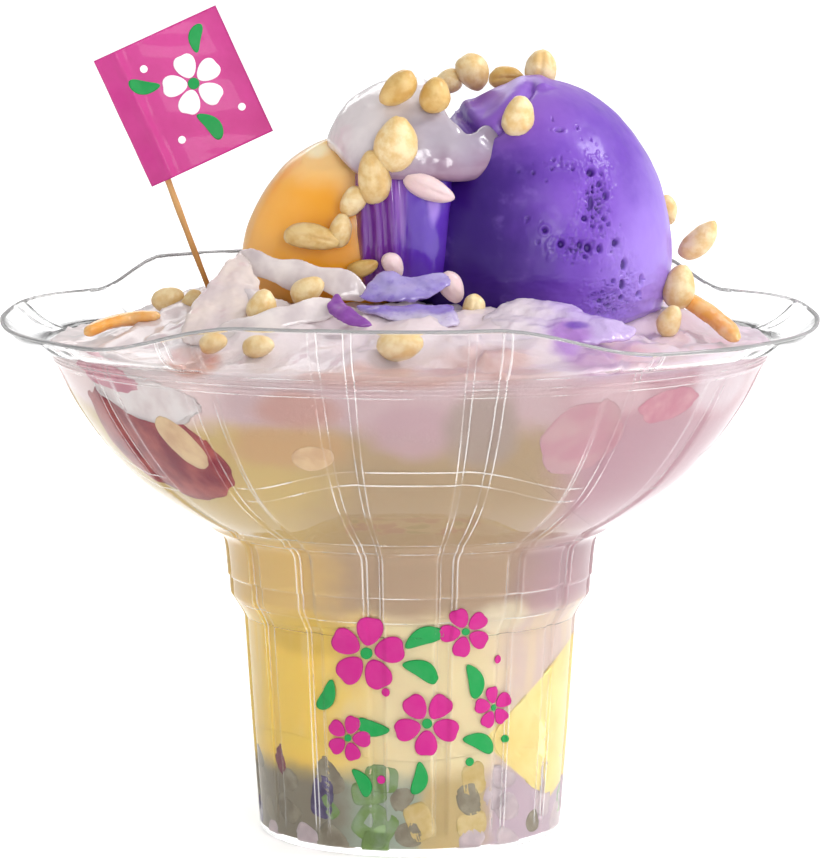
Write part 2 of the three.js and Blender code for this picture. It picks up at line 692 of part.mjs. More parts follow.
function pack() {
  const group = new THREE.Group();
  const kept = [];
  const addMesh = (name, geometry) => {
    const mesh = new THREE.Mesh(geometry, material(name));
    mesh.name = name;
    group.add(mesh);
  };
  addMesh("clear_cup", faceOutward(makeCup()));
  for (const [name, make] of pieces) {
    const whole = make(0);
    const box = whole.boundingBox();
    const near = kept.filter((other) => overlaps(box, other.box));
    const cut = near.reduce((solid, other) => solid.subtract(other.grown), whole);
    const grown = make(gap).simplify(sliver);
    kept.push({ grown, box: grown.boundingBox() });
    addMesh(name, toGeometry(cleaned(cut)));
  }
  return group;
}

export default pack();
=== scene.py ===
import math

import bpy
import numpy as np
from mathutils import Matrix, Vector, noise


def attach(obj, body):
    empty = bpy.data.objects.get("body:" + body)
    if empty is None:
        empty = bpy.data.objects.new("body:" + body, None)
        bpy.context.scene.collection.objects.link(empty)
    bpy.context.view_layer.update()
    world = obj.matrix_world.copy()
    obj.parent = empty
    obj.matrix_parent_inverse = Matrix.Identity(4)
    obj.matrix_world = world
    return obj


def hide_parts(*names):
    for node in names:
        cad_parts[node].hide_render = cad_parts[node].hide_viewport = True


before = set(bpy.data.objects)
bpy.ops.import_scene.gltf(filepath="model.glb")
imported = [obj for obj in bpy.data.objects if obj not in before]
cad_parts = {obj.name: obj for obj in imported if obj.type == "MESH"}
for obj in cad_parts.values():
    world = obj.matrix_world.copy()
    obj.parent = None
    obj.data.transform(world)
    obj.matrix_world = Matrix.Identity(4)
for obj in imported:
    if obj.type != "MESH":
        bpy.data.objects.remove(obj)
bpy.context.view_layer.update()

mm = 0.001


# Numbers and colours

def smooth(low, high, value):
    t = np.clip((value - low) / (high - low), 0, 1)
    return t * t * (3 - 2 * t)


def mix(a, b, t):
    return a + (b - a) * t


def paint(text):  # a screen colour as the linear light that Blender works in
    parts = [int(text[i:i + 2], 16) / 255 for i in (1, 3, 5)]
    return tuple(v / 12.92 if v <= 0.04045 else ((v + 0.055) / 1.055) ** 2.4 for v in parts) + (1.0,)


def waves(points, scale, seed=0, octaves=3):  # smooth uneven values, about -1 to 1, one for each point
    shift = Vector((seed * 13.7, seed * 7.3, seed * 3.1))
    return np.array([noise.fractal(Vector(p) * scale + shift, 1.0, 2.0, octaves) for p in points])


def stacked(*parts):
    return np.stack(np.broadcast_arrays(*parts), -1)


def turned(points, turn):  # degrees about x, then y, then z
    a, b, c = np.radians(turn)
    x, y, z = np.asarray(points, float).T
    y, z = y * math.cos(a) - z * math.sin(a), y * math.sin(a) + z * math.cos(a)
    x, z = x * math.cos(b) + z * math.sin(b), -x * math.sin(b) + z * math.cos(b)
    x, y = x * math.cos(c) - y * math.sin(c), x * math.sin(c) + y * math.cos(c)
    return stacked(x, y, z)


def curveThrough(points, per=5, loop=False):  # a smooth line through points
    points = np.asarray(points, float)
    if loop:
        padded = np.vstack([points[-1], points, points[:2]])
    else:
        padded = np.vstack([2 * points[0] - points[1], points, 2 * points[-1] - points[-2]])
    out = []
    for i in range(1, len(padded) - 2):
        p0, p1, p2, p3 = padded[i - 1:i + 3]
        for t in np.arange(per) / per:
            out.append(0.5 * (2 * p1 + (p2 - p0) * t + (2 * p0 - 5 * p1 + 4 * p2 - p3) * t ** 2
                              + (3 * p1 - p0 - 3 * p2 + p3) * t ** 3))
    if not loop:
        out.append(padded[-2])
    return np.array(out)


# Node building

class Value:  # a socket that can be used in sums
    def __init__(self, nodes, socket):
        self.nodes = nodes
        self.socket = socket

    def maths(self, operation, a, b):
        return self.nodes.maths(operation, a, b)

    def __add__(self, other):
        return self.maths("ADD", self, other)

    __radd__ = __add__

    def __sub__(self, other):
        return self.maths("SUBTRACT", self, other)

    def __rsub__(self, other):
        return self.maths("SUBTRACT", other, self)

    def __mul__(self, other):
        return self.maths("MULTIPLY", self, other)

    __rmul__ = __mul__

    def __truediv__(self, other):
        return self.maths("DIVIDE", self, other)

    def __pow__(self, other):
        return self.maths("POWER", self, other)


class Nodes:
    def __init__(self, tree):
        self.tree = tree
        tree.nodes.clear()

    def fill(self, node, values):
        for key, value in values.items():
            if isinstance(value, Value):
                self.tree.links.new(value.socket, node.inputs[key])
            else:
                node.inputs[key].default_value = value

    def node(self, kind, settings, links, out=0):
        made = self.tree.nodes.new(kind)
        for key, value in settings.items():
            setattr(made, key, value)
        self.fill(made, links)
        return Value(self, made.outputs[out])

    def maths(self, operation, a, b):
        return self.node("ShaderNodeMath", {"operation": operation}, {0: a, 1: b})

    def step(self, value, low, high):  # 0 below low, 1 above high, smooth between
        links = {"Value": value, "From Min": low, "From Max": high}
        return self.node("ShaderNodeMapRange", {"interpolation_type": "SMOOTHSTEP"}, links)

    def hairline(self, value, half):  # 1 on a thin line where value is 0
        return 1 - self.step(self.maths("ABSOLUTE", value, 0), half * 0.5, half)

    def blend(self, share, a, b):
        return self.node("ShaderNodeMix", {"data_type": "RGBA"}, {0: share, 6: a, 7: b}, 2)

    def between(self, value, low, high, first, second):  # one tint below low, the other above high
        return self.blend(self.step(value, low, high), paint(first), paint(second))

    def over(self, colour, *coats):  # (share, tint) pairs laid over a colour one after the other
        for share, tint in coats:
            colour = self.blend(share, colour, paint(tint))
        return colour


class Finish(Nodes):  # one material
    def __init__(self, name, **settings):
        self.material = bpy.data.materials.new(name)
        self.material.use_nodes = True
        super().__init__(self.material.node_tree)
        output = self.tree.nodes.new("ShaderNodeOutputMaterial")
        self.shader = self.tree.nodes.new("ShaderNodeBsdfPrincipled")
        self.tree.links.new(self.shader.outputs[0], output.inputs[0])
        self.place = self.node("ShaderNodeTexCoord", {}, {}, "Object")
        self.surface(**settings)

    def surface(self, **values):  # names of the shader's sockets, with _ for a space
        self.fill(self.shader, {key.replace("_", " "): value for key, value in values.items()})

    def axis(self, letter):  # in millimetres
        return self.node("ShaderNodeSeparateXYZ", {}, {0: self.place}, letter.upper()) * (1 / mm)

    def vector(self, operation, values, out=0):
        return self.node("ShaderNodeVectorMath", {"operation": operation}, dict(enumerate(values)), out)

    def mark(self, name):  # a number that markPoints put on each point
        return self.node("ShaderNodeAttribute", {"attribute_name": name}, {}, "Fac")

    def mottle(self, size, detail=3, roughness=0.55, stretch=None):  # spots of about size millimetres
        place = self.vector("MULTIPLY", (self.place, stretch)) if stretch else self.place
        links = {"Vector": place, "Scale": 1 / (size * mm), "Detail": detail, "Roughness": roughness}
        return self.node("ShaderNodeTexNoise", {}, links)

    def near(self, place, size, uneven=0.0, grain=8):  # 1 inside a soft blob, 0 outside it
        moved = self.vector("SUBTRACT", (self.place, [v * mm for v in place]))
        scaled = self.vector("DIVIDE", (moved, [v * mm for v in size]))
        length = self.vector("LENGTH", (scaled,), "Value")
        if uneven:
            length = length + uneven * (self.mottle(grain, 2) - 0.5)
        return 1 - self.step(length, 0.6, 1.25)

    def bump(self, height, strength=0.3, distance=0.3):
        links = {"Height": height, "Strength": strength, "Distance": distance * mm}
        self.surface(Normal=self.node("ShaderNodeBump", {}, links))


# Meshes

def dress(piece, finish, slot, nodes):
    piece.data.polygons.foreach_set("use_smooth", [True] * len(piece.data.polygons))
    piece.data.materials.clear()
    piece.data.materials.append(finish.material)
    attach(piece, "root")
    if nodes:
        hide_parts(*nodes)
    return piece


def addObject(name, data):
    made = bpy.data.objects.new(name, data)
    bpy.context.scene.collection.objects.link(made)
    return made


def bareMesh(name, solid):
    points, faces = solid
    mesh = bpy.data.meshes.new(name)
    mesh.from_pydata((np.asarray(points) * mm).tolist(), [], [tuple(int(i) for i in face) for face in faces])
    mesh.update()
    return addObject(name, mesh)


def makeMesh(name, solid, finish, slot, nodes=()):  # solid is (points, faces)
    return dress(bareMesh(name, solid), finish, slot, nodes)


def markPoints(piece, name, values):  # a number on each point, which its material can read
    mark = piece.data.attributes.new(name, "FLOAT", "POINT")
    mark.data.foreach_set("value", values)


def gridFaces(rows, columns, closed=True, start=0):
    across = columns if closed else columns - 1
    row, column = np.meshgrid(np.arange(rows - 1), np.arange(across), indexing="ij")
    following = (column + 1) % columns
    low = start + row * columns
    high = low + columns
    return stacked(low + column, low + following, high + following, high + column).reshape(-1, 4)


def skin(grid, first, last):  # rows of points round an axis, shut by a point at each end
    rows, columns = grid.shape[:2]
    ring = np.arange(columns)
    following = (ring + 1) % columns
    base = (rows - 1) * columns
    count = rows * columns
    faces = gridFaces(rows, columns).tolist()
    faces += stacked(following, ring, count).tolist()
    faces += stacked(base + ring, base + following, count + 1).tolist()
    return np.vstack([grid.reshape(-1, 3), [first], [last]]), faces


def join(parts):  # several (points, faces) as one
    points, faces, count = [], [], 0
    for partPoints, partFaces in parts:
        points.append(np.asarray(partPoints))
        faces += [[i + count for i in face] for face in partFaces]
        count += len(partPoints)
    return np.concatenate(points), faces


def ball(shape, rise, turn):  # shape turns unit directions into places, in so many rows and columns
    if isinstance(rise, int):
        rise = np.linspace(-90, 90, rise + 2)[1:-1]
        turn = np.linspace(0, 360, turn, endpoint=False)
    up, around = np.meshgrid(np.radians(rise), np.radians(turn), indexing="ij")
    directions = stacked(np.cos(up) * np.cos(around), np.cos(up) * np.sin(around), np.sin(up))
    placed = shape(np.vstack([directions.reshape(-1, 3), [[0, 0, -1.0], [0, 0, 1.0]]]))
    grid = placed[:-2].reshape(directions.shape)
    return skin(grid, placed[-2], placed[-1])


def strip(path, width, thick, tilt, wave, curl, steps=60, sides=18):  # a flat rounded section on a curve
    line = curveThrough(path, max(2, steps // (len(path) - 1)))
    along = np.gradient(line, axis=0)
    along /= np.linalg.norm(along, axis=1)[:, None]
    across = np.cross(np.asarray(tilt, float), along)
    across /= np.linalg.norm(across, axis=1)[:, None]
    up = np.cross(along, across)
    t = np.linspace(0, 1, len(line))
    taper = 0.3 + 0.7 * np.sqrt(np.maximum(0, 1 - (2 * t - 1) ** 4))
    turn = np.linspace(0, 2 * math.pi, sides, endpoint=False)
    rows = []
    for i, middle in enumerate(line):
        half = width / 2 * taper[i] * (1 + wave * math.sin(t[i] * 17))
        side = np.cos(turn)[:, None] * half
        lift = np.sin(turn)[:, None] * thick / 2 * taper[i] ** 0.5
        bend = curl * np.cos(turn)[:, None] ** 2 * math.sin(t[i] * 9 + 1)
        rows.append(middle + across[i] * side + up[i] * (lift + bend))
    reach = thick * 0.3
    return skin(np.array(rows), line[0] - along[0] * reach, line[-1] + along[-1] * reach)


# A sheet with a closed outline that lies on a bent surface
def sheet(outline, onto, thick, rings=14, per=10, ripple=0.0, seed=1, fray=0.0):
    edge = curveThrough(outline, per, True)
    middle = edge.mean(0)
    if fray:
        away = edge - middle
        edge = middle + away * (1 + fray * waves(np.column_stack([edge, 0 * edge[:, 0]]), 0.5, seed))[:, None]

    def level(share, side):
        flat = middle + (edge - middle) * share
        here = onto(flat[:, 0], flat[:, 1])
        step = 0.02
        a = onto(flat[:, 0] + step, flat[:, 1]) - here
        b = onto(flat[:, 0], flat[:, 1] + step) - here
        normal = np.cross(a, b)
        normal /= np.linalg.norm(normal, axis=1)[:, None]
        lift = side * thick / 2 * math.sqrt(max(0, 1 - share ** 5))
        if ripple:
            lift = lift + ripple * waves(here, 0.22, seed, 2)
        return here + normal * np.reshape(lift * np.ones(len(here)), (-1, 1))

    shares = 1 - (1 - np.linspace(0, 1, rings + 1)[1:]) ** 1.6
    rows = [level(share, 1) for share in shares] + [level(share, -1) for share in shares[-2::-1]]
    return skin(np.array(rows), level(0.001, 1)[0], level(0.001, -1)[0])


def evened(name, parts, finish, slot, nodes, voxel=0.4, rounds=8, ripple=0.0, size=0.2, seed=1):
    # Parts run together into one soft, even skin
    piece = bareMesh(name, join(parts))
    remesh = piece.modifiers.new("even", "REMESH")
    remesh.mode = "VOXEL"
    remesh.voxel_size = voxel * mm
    settle = piece.modifiers.new("round", "SMOOTH")
    settle.iterations = rounds
    settle.factor = 0.6
    graph = bpy.context.evaluated_depsgraph_get()
    mesh = bpy.data.meshes.new_from_object(piece.evaluated_get(graph))
    piece.modifiers.clear()
    piece.data = mesh
    if ripple:
        place = np.array([v.co for v in mesh.vertices]) / mm
        normal = np.array([v.normal for v in mesh.vertices])
        place += normal * (ripple * waves(place, size, seed))[:, None]
        mesh.vertices.foreach_set("co", (place * mm).ravel())
    mesh.update()
    return dress(piece, finish, slot, nodes)


# Camera, floor and light

camera = {"distance": 885, "height": 197.2, "tilt": 7.25, "focal": 178.1, "sensor": 36, "farthest": 100}


def addCamera():
    data = bpy.data.cameras.new("camera")
    data.lens = camera["focal"]
    data.sensor_width = camera["sensor"]
    data.clip_end = camera["farthest"]
    eye = addObject("camera", data)
    eye.location = (0, -camera["distance"] * mm, camera["height"] * mm)
    eye.rotation_euler = (math.radians(90 - camera["tilt"]), 0, 0)
    bpy.context.scene.camera = eye


studio = {
    "floor": "#f4f4f4", "floorGlow": 0.5, "floorHalf": 12, "skyLeft": 0.56, "skyRight": 0.86,
    # watts, size in metres, place, all aimed at the target
    "lamps": {
        "key": (12, 0.45, (1.15, -0.15, 1.15)),
        "front": (5, 0.4, (0.35, -1.25, 0.42)),
        "back": (4, 0.8, (-0.2, 1.1, 0.9)),
    },
    "target": (0, 0, 0.1),
}


def addStudio():
    half = studio["floorHalf"]
    mesh = bpy.data.meshes.new("floor")
    corners = [(x * half, y * half, 0) for x, y in ((-1, -1), (1, -1), (1, 1), (-1, 1))]
    mesh.from_pydata(corners, [], [(0, 1, 2, 3)])
    floor = addObject("floor", mesh)
    white = Finish("floor_paint", Base_Color=paint(studio["floor"]), Roughness=0.9,
                   Emission_Color=(1, 1, 1, 1), Emission_Strength=studio["floorGlow"])
    mesh.materials.append(white.material)
    world = bpy.data.worlds.new("studio")
    world.use_nodes = True
    sky = Nodes(world.node_tree)
    direction = sky.node("ShaderNodeTexCoord", {}, {}, "Generated")
    sideways = sky.node("ShaderNodeSeparateXYZ", {}, {0: direction}, "X")
    strength = studio["skyLeft"] + (studio["skyRight"] - studio["skyLeft"]) * sky.step(sideways, -0.8, 0.9)
    light = sky.node("ShaderNodeBackground", {}, {0: (1, 1, 1, 1), 1: strength})
    output = sky.tree.nodes.new("ShaderNodeOutputWorld")
    sky.tree.links.new(light.socket, output.inputs[0])
    bpy.context.scene.world = world
    for name, (energy, size, place) in studio["lamps"].items():
        data = bpy.data.lights.new(name, "AREA")
        data.energy = energy
        data.size = size
        lamp = addObject(name, data)
        lamp.location = place
        lamp.rotation_euler = (Vector(studio["target"]) - Vector(place)).to_track_quat("-Z", "Y").to_euler()
    bpy.context.scene.view_settings.view_transform = "Standard"


# Cup

cup = {
    # radius, height and share of the rib's depth, from the foot up
    "line": [
        (30.4, 0, 0), (31.3, 0.35, 0), (31.9, 1.4, 0), (32.1, 4, 0), (32.4, 8, 0.6), (33.7, 26, 0.6),
        (34.9, 44.5, 0.6), (35.1, 46.2, 0.7), (35.9, 47.8, 0.8), (37.3, 50, 1), (37.9, 51.2, 1), (38.1, 54.4, 1),
        (38.45, 54.9, 1), (38.6, 57, 1), (39.1, 61.6, 1), (39.9, 63.4, 1), (41.6, 64.7, 1), (42.3, 65, 1),
        (43.6, 66.4, 1), (49.4, 69.9, 1), (57.7, 76, 1), (64.2, 83.2, 1), (69.9, 91.5, 0.9), (73.2, 98, 0.6),
        (74.3, 100.2, 0.2),
    ],
    "wall": 0.6, "floor": 1.6, "ring": 102.7,
    "ringSteps": {"from": 100.4, "to": 103.5, "count": 4, "radius": 74.5, "grow": 1.1, "depth": 0.13},
    "lipFoot": (76.2, 103.7), "lipSag": 1.3, "bead": 0.36,
    "ribs": {"apart": 22.5, "first": 11.25, "half": 3.3, "flat": 1.8, "depth": 0.85},
    # painted highlight lines along the moulded creases and rib edges: heights, half width in mm, arcs between the
    # ribs
    "creases": (1.7, 49.6, 54.9, 64.4, 66.6, 99.9, 101.6, 103.4), "hair": 0.17,
    "arcs": (84.3, 81.4), "arcDrop": 5.2,
    "side": {"radius": 85.4, "rise": 6.2},
    "front": {"radius": 79.8, "rise": 11, "from": 48, "to": 72, "sideRise": -1.1, "turn": 6},
    "back": {"radius": 79.8, "rise": 14, "from": 33, "to": 46, "sideRise": 1.1, "turn": 0},
}


def cupAngles():  # close together across the ribs, wider between them
    ribs = cup["ribs"]
    gaps = np.linspace(ribs["half"] + 1, ribs["apart"] - ribs["half"] - 1, 7)
    steps = np.concatenate([np.linspace(-ribs["half"] - 0.2, ribs["half"] + 0.2, 13), gaps])
    starts = np.arange(ribs["first"], 360, ribs["apart"])
    return np.sort((starts[:, None] + steps).ravel() % 360)


def ribShape(angle):  # 0 on the plain wall, 1 in the floor of a rib
    ribs = cup["ribs"]
    away = np.abs((np.asarray(angle) - ribs["first"] + ribs["apart"] / 2) % ribs["apart"] - ribs["apart"] / 2)
    return 1 - smooth(ribs["flat"], ribs["half"], away)


def lipEdge(angle):
    back = np.sin(np.radians(angle)) > 0
    plain = np.degrees(np.arccos(np.abs(np.cos(np.radians(angle)))))
    radius, height = 0, 0
    for side, here in ((cup["front"], ~back), (cup["back"], back)):
        turnedSide = np.degrees(np.arccos(np.abs(np.cos(np.radians(angle + side["turn"])))))
        lift = smooth(side["from"], side["to"], turnedSide)
        sideRise = cup["side"]["rise"] + side["sideRise"] * smooth(0, 18, plain)
        out = mix(cup["side"]["radius"], side["radius"], smooth(side["from"] - 12, side["to"], plain))
        radius = np.where(here, out, radius)
        height = np.where(here, cup["ring"] + mix(sideRise, side["rise"], lift), height)
    return radius, height


def bodyLine():
    line = curveThrough(cup["line"], 4)
    steps = cup["ringSteps"]
    t = np.linspace(0, 1, steps["count"] * 6 + 1)
    height = mix(steps["from"], steps["to"], t)
    radius = steps["radius"] + steps["grow"] * t + steps["depth"] * np.sin(t * steps["count"] * 2 * math.pi)
    return np.vstack([line, stacked(radius, height, 0 * t)])


plainLine = bodyLine()


def onRound(radius, turn, height):
    return stacked(radius * np.cos(turn), radius * np.sin(turn), height)


def cupRadius(height, angle, inset=0.0):  # radius of the outer face, or of a face inside it
    slope = np.gradient(plainLine[:, 0]) / np.maximum(np.gradient(plainLine[:, 1]), 0.05)
    slant = np.sqrt(1 + np.minimum(slope, 2.2) ** 2)
    rows = (plainLine[:, 0], plainLine[:, 2], slant)
    radius, share, thick = (np.interp(height, plainLine[:, 1], row) for row in rows)
    return radius - cup["ribs"]["depth"] * share * ribShape(angle) - thick * inset


def makeCup():
    angles = cupAngles()
    ribs = ribShape(angles)[None, :]
    radius = plainLine[:, 0:1] - cup["ribs"]["depth"] * plainLine[:, 2:3] * ribs
    height = plainLine[:, 1:2] + 0 * ribs
    edgeRadius, edgeHeight = lipEdge(angles)
    footRadius, footHeight = cup["lipFoot"]
    across = np.stack([edgeRadius - footRadius, edgeHeight - footHeight])
    middle = across / np.hypot(*across)
    side = np.stack([middle[1], -middle[0]])
    shares = np.linspace(0, 0.985, 16)[:, None]
    sag = 4 * shares * (1 - shares) * cup["lipSag"]
    ribOnLip = cup["ribs"]["depth"] * smooth(0.02, 0.16, shares) * (1 - smooth(0.8, 0.97, shares))
    radius = np.vstack([radius, footRadius + across[0] * shares + side[0] * sag - ribOnLip * ribs])
    height = np.vstack([height, footHeight + across[1] * shares + side[1] * sag])
    soft = [np.pad(v, ((4, 4), (0, 0)), "reflect", reflect_type="odd") for v in (radius, height)]
    soft = [sum(v[i:i + len(radius)] for i in range(9)) / 9 for v in soft]
    inward = np.stack([-np.gradient(soft[1], axis=0), np.gradient(soft[0], axis=0)])
    inward /= np.maximum(np.hypot(*inward), 1e-9)
    innerRadius = mix(radius, soft[0], 0.7) + inward[0] * cup["wall"]
    innerHeight = mix(height, soft[1], 0.7) + inward[1] * cup["wall"]
    first = int(np.argmax(height[:, 0] > cup["floor"] + 1.2))
    centre = np.stack([radius[-1] + innerRadius[-1], height[-1] + innerHeight[-1] - 0.3]) / 2
    turns = np.radians(np.linspace(-125, 125, 11))[:, None]
    bead = [centre[i] + cup["bead"] * (np.cos(turns) * middle[i] - np.sin(turns) * side[i]) for i in (0, 1)]
    floorRadius = np.array([cup["line"][2][0] - cup["wall"] - v for v in (0.3, 0.9, 2.4)])[:, None] + 0 * ribs
    floorHeight = cup["floor"] + np.array([0.9, 0.25, 0.0])[:, None] + 0 * ribs
    allRadius = np.vstack([radius, bead[0], innerRadius[:first - 1:-1], floorRadius])
    allHeight = np.vstack([height, bead[1], innerHeight[:first - 1:-1], floorHeight])
    turn = np.radians(angles)
    solid = skin(onRound(allRadius, turn, allHeight), (0, 0, 0), (0, 0, cup["floor"]))
    piece = makeMesh("cup", solid, plasticFinish(), "clear_plastic", ["clear_cup"])
    # the lip and its bead are marked for painted grey shade
    edge = np.zeros(len(solid[0]))
    edge[(len(radius) - 1) * len(angles):(len(radius) + len(turns) + 1) * len(angles)] = 1
    markPoints(piece, "edge", edge)


def plasticFinish():  # clear, with painted highlight lines along the moulded edges and painted grey shade on the lip bead
    finish = Finish("clear_plastic", Base_Color=(0.99, 0.99, 0.995, 1), IOR=1.27, Transmission_Weight=1.0)
    finish.surface(Roughness=0.02 + 0.04 * finish.mottle(14))
    x, y, z = (finish.axis(letter) for letter in "xyz")
    ribs, hair = cup["ribs"], cup["hair"]
    angle = finish.maths("ARCTAN2", y, x) * (180 / math.pi)
    away = finish.maths("PINGPONG", angle + 360 - ribs["first"], ribs["apart"] / 2)
    radius = (x * x + y * y) ** 0.5
    across = away * radius * (math.pi / 180)  # millimetres from the middle of a rib
    # painted highlight lines along both edges of each rib
    edges = [radius * (share * math.pi / 180) for share in (ribs["flat"] + 0.1, ribs["half"] - 0.2)]
    bright = finish.maths("MAXIMUM", *[finish.hairline(across - edge, hair) for edge in edges])
    bright = bright * finish.step(z, 3, 7)
    bright = bright * (0.15 + 0.85 * finish.step(finish.mottle(9, 2, 0.5, (1, 1, 0.25)), 0.4, 0.62))
    printed = finish.step(y, -30, -26) + finish.step(z, 46, 56)  # fainter in front, where the print is
    bright = bright * (0.2 + 0.8 * finish.maths("MINIMUM", printed, 1))
    # painted highlight lines along the creases and the arcs
    level = None
    for height in cup["creases"]:
        line = finish.hairline(z - height, hair * 0.8)
        level = finish.maths("MAXIMUM", level, line) if level else line
    aside = finish.maths("PINGPONG", angle + 360, 45)  # degrees from the middle of a petal
    for top in cup["arcs"]:
        arc = finish.hairline(z - top + cup["arcDrop"] * finish.step(aside, 9, 34), hair * 1.2)
        level = finish.maths("MAXIMUM", level, arc * (1 - finish.step(aside, 33, 36)))
    level = level * (0.15 + 0.85 * finish.step(finish.mottle(12, 2), 0.42, 0.6))
    # near white for the painted highlight lines, grey for painted shade on the lip bead
    edge = finish.mark("edge")
    tint = finish.blend(edge, (1, 0.98, 0.97, 1), (0.5, 0.5, 0.5, 1))
    paintedGlintAndShade = finish.node("ShaderNodeBsdfPrincipled", {}, {"Base Color": tint, "Roughness": 0.2})
    output = finish.tree.nodes["Material Output"]
    share = finish.maths("MAXIMUM", 0.5 * finish.maths("MAXIMUM", bright, level), 0.5 * edge)
    clear = Value(finish, finish.shader.outputs[0])
    both = finish.node("ShaderNodeMixShader", {}, {0: share, 1: clear, 2: paintedGlintAndShade})
    finish.tree.links.new(both.socket, output.inputs[0])
    return finish


# What fills the cup

filling = {
    "reach": 0.2,
    # height where a band begins, its colours from left to right, and where along x they run together
    "bands": [
        (0, ("#fbd66b", "#f0deb2", "#dcc6bc"), (-20, -2, 12, 24)),
        (50, ("#e6c481", "#c0a68c", "#c0a0a5"), (-24, -10, 16, 30)),
        (66, ("#d2b87e", "#b8a081", "#c29ca6"), (-28, -6, 22, 38)),
        (93, ("#eed8d6", "#cfb5b7", "#c9a0a8"), (-46, -30, 24, 40)),
        (103, ("#ddd0d0", "#d6c6ca", "#d4bfcd"), (-30, -10, 20, 40)),
    ],
    # softer patches: colour, place, half size, strength
    "patches": [
        ("#cda77e", (-24, -62, 89), (13, 24, 5), 0.9),
        ("#c89c90", (-22, -64, 97), (9, 20, 4), 0.8),
        ("#c8a9ae", (0, -68, 93), (9, 20, 6), 0.9),
        ("#b2a096", (14, -68, 93), (7, 20, 9), 0.9),
        ("#dcc0c4", (39, -58, 99), (9, 14, 4), 0.8),
        ("#e4d3d8", (62, -34, 99), (9, 20, 6), 0.9),
        ("#d8b654", (-22, -28, 46), (12, 14, 5), 0.6),
        ("#e9dcc0", (18, -30, 50), (6, 12, 4), 0.8),
        ("#e0cfcc", (-56, -40, 95), (13, 16, 5), 0.8),
        ("#c88e7c", (-43, -57, 105.2), (6, 12, 2.6), 0.95),
        ("#c8a198", (-4, -72, 105), (18, 8, 3.4), 0.9),
        ("#c69e97", (17, -68, 107), (13, 12, 4), 0.9),
        ("#cb9da8", (46, -54, 107), (10, 14, 3.4), 0.9),
        ("#b98fb4", (37, -61, 106), (7, 13, 3), 0.9),
        ("#c3acd8", (38, -48, 110.4), (14, 10, 2.4), 0.8),
        ("#9c68b8", (31.5, -57, 108.6), (4.6, 10, 3), 0.9),
        ("#6d40ac", (33, -54, 111), (2.8, 4, 0.9), 0.9),
        ("#8c62c6", (42.5, -56, 106.8), (3.2, 5, 0.7), 0.8),
    ],
}
layerTops = {
    "heap": lambda x, y: 21.5 + 1.6 * np.sin(x * 0.13 + 2) * np.cos(y * 0.12) - 0.06 * x,
    "gold": lambda x, y: 51 + 1.2 * np.sin(y * 0.1 + 1) + 0.05 * x,
    "soaked": lambda x, y: (92 - 28 * smooth(12, 46, x) - 9 * smooth(36, 62, -x)
                            + 1.2 * np.sin(x * 0.1 + y * 0.05)),
}
mound = {"top": 112.6, "edge": 104.4, "from": 44, "to": 72, "bump": 0.9, "dip": (44, -20, 14, 4.5)}


def moundHeight(x, y):
    radius = np.hypot(x, y)
    wave = np.sin(x * 0.21 + 1.3) * np.cos(y * 0.24 - 0.4) + 0.6 * np.sin(x * 0.47 - y * 0.39)
    calm = 1 - smooth(mound["to"] - 8, mound["to"], radius)
    dipX, dipY, reach, depth = mound["dip"]
    sunk = depth * np.exp(-((x - dipX) / reach) ** 2 - ((y - dipY) / reach) ** 2)
    plain = mix(mound["top"], mound["edge"], smooth(mound["from"], mound["to"], radius))
    return plain + mound["bump"] * wave * calm - sunk


def layer(name, low, high, finish, slot, node, rows, proud=0.0, caps=9, ruffle=None):
    # A slice of the filling between two height functions, pressed just into the wall
    angles = cupAngles()
    turn = np.radians(angles)
    inset = cup["wall"] - filling["reach"] - proud

    def meets(height):  # where a height function comes to the wall, found by going round a few times
        z = np.full(len(angles), 60.0)
        for _ in range(24):
            r = cupRadius(z, angles, inset)
            z = mix(z, np.clip(height(r * np.cos(turn), r * np.sin(turn)), cup["floor"] + 0.3, 103.6), 0.6)
        return z

    bottom, top = meets(low), meets(high)
    side = []
    for share in np.concatenate([[0, 0.004], np.linspace(0.015, 0.985, rows), [0.996, 1]]):
        z = mix(bottom, top, share)
        side.append(onRound(cupRadius(z, angles, inset), turn, z))
    under, over = [], []
    for cap, edge, height, count in ((under, side[0], low, 9), (over, side[-1], high, caps)):
        for share in np.linspace(0, 1, count + 1)[1:-1]:
            x, y = edge[:, 0] * (1 - share), edge[:, 1] * (1 - share)
            cap.append(stacked(x, y, height(x, y)))
    points, faces = skin(np.array(under[::-1] + side + over), (0, 0, low(0, 0)), (0, 0, high(0, 0)))
    if ruffle:
        points = ruffle(points)
    makeMesh(name, (points, faces), finish, slot, [node])


def under(name):  # a layer's own edge starts a little below the top of the layer under it
    return lambda x, y: layerTops[name](x, y) - 1.2


def crumbled(points):  # the ice's loose, lumpy top
    above = points[:, 2] > 103.9
    ice = points[above]
    lumps = 0.9 * np.abs(waves(ice, 0.15, 3, 4)) + 0.7 * np.maximum(0, waves(ice, 0.42, 5, 3))
    points[above, 2] += lumps - 0.3
    return points


def fillingColour(finish):
    x, z = finish.axis("x"), finish.axis("z")
    slow, quick = finish.mottle(18, 3), finish.mottle(7, 3)
    wander = 14 * (slow - 0.5) + 5 * (quick - 0.5)
    colour = None
    for height, (left, middle, right), (a, b, c, d) in filling["bands"]:
        across = finish.between(x + wander, a, b, left, middle)
        across = finish.over(across, (finish.step(x + wander, c, d), right))
        up = finish.step(z + 0.5 * wander, height - 3, height + 3)
        colour = finish.blend(up, colour, across) if colour else across
    for tint, place, size, strength in filling["patches"]:
        grain = min(11, 1.2 * max(size[0], size[2]))
        colour = finish.over(colour, (finish.near(place, size, 0.7, grain) * strength, tint))
    return colour, quick


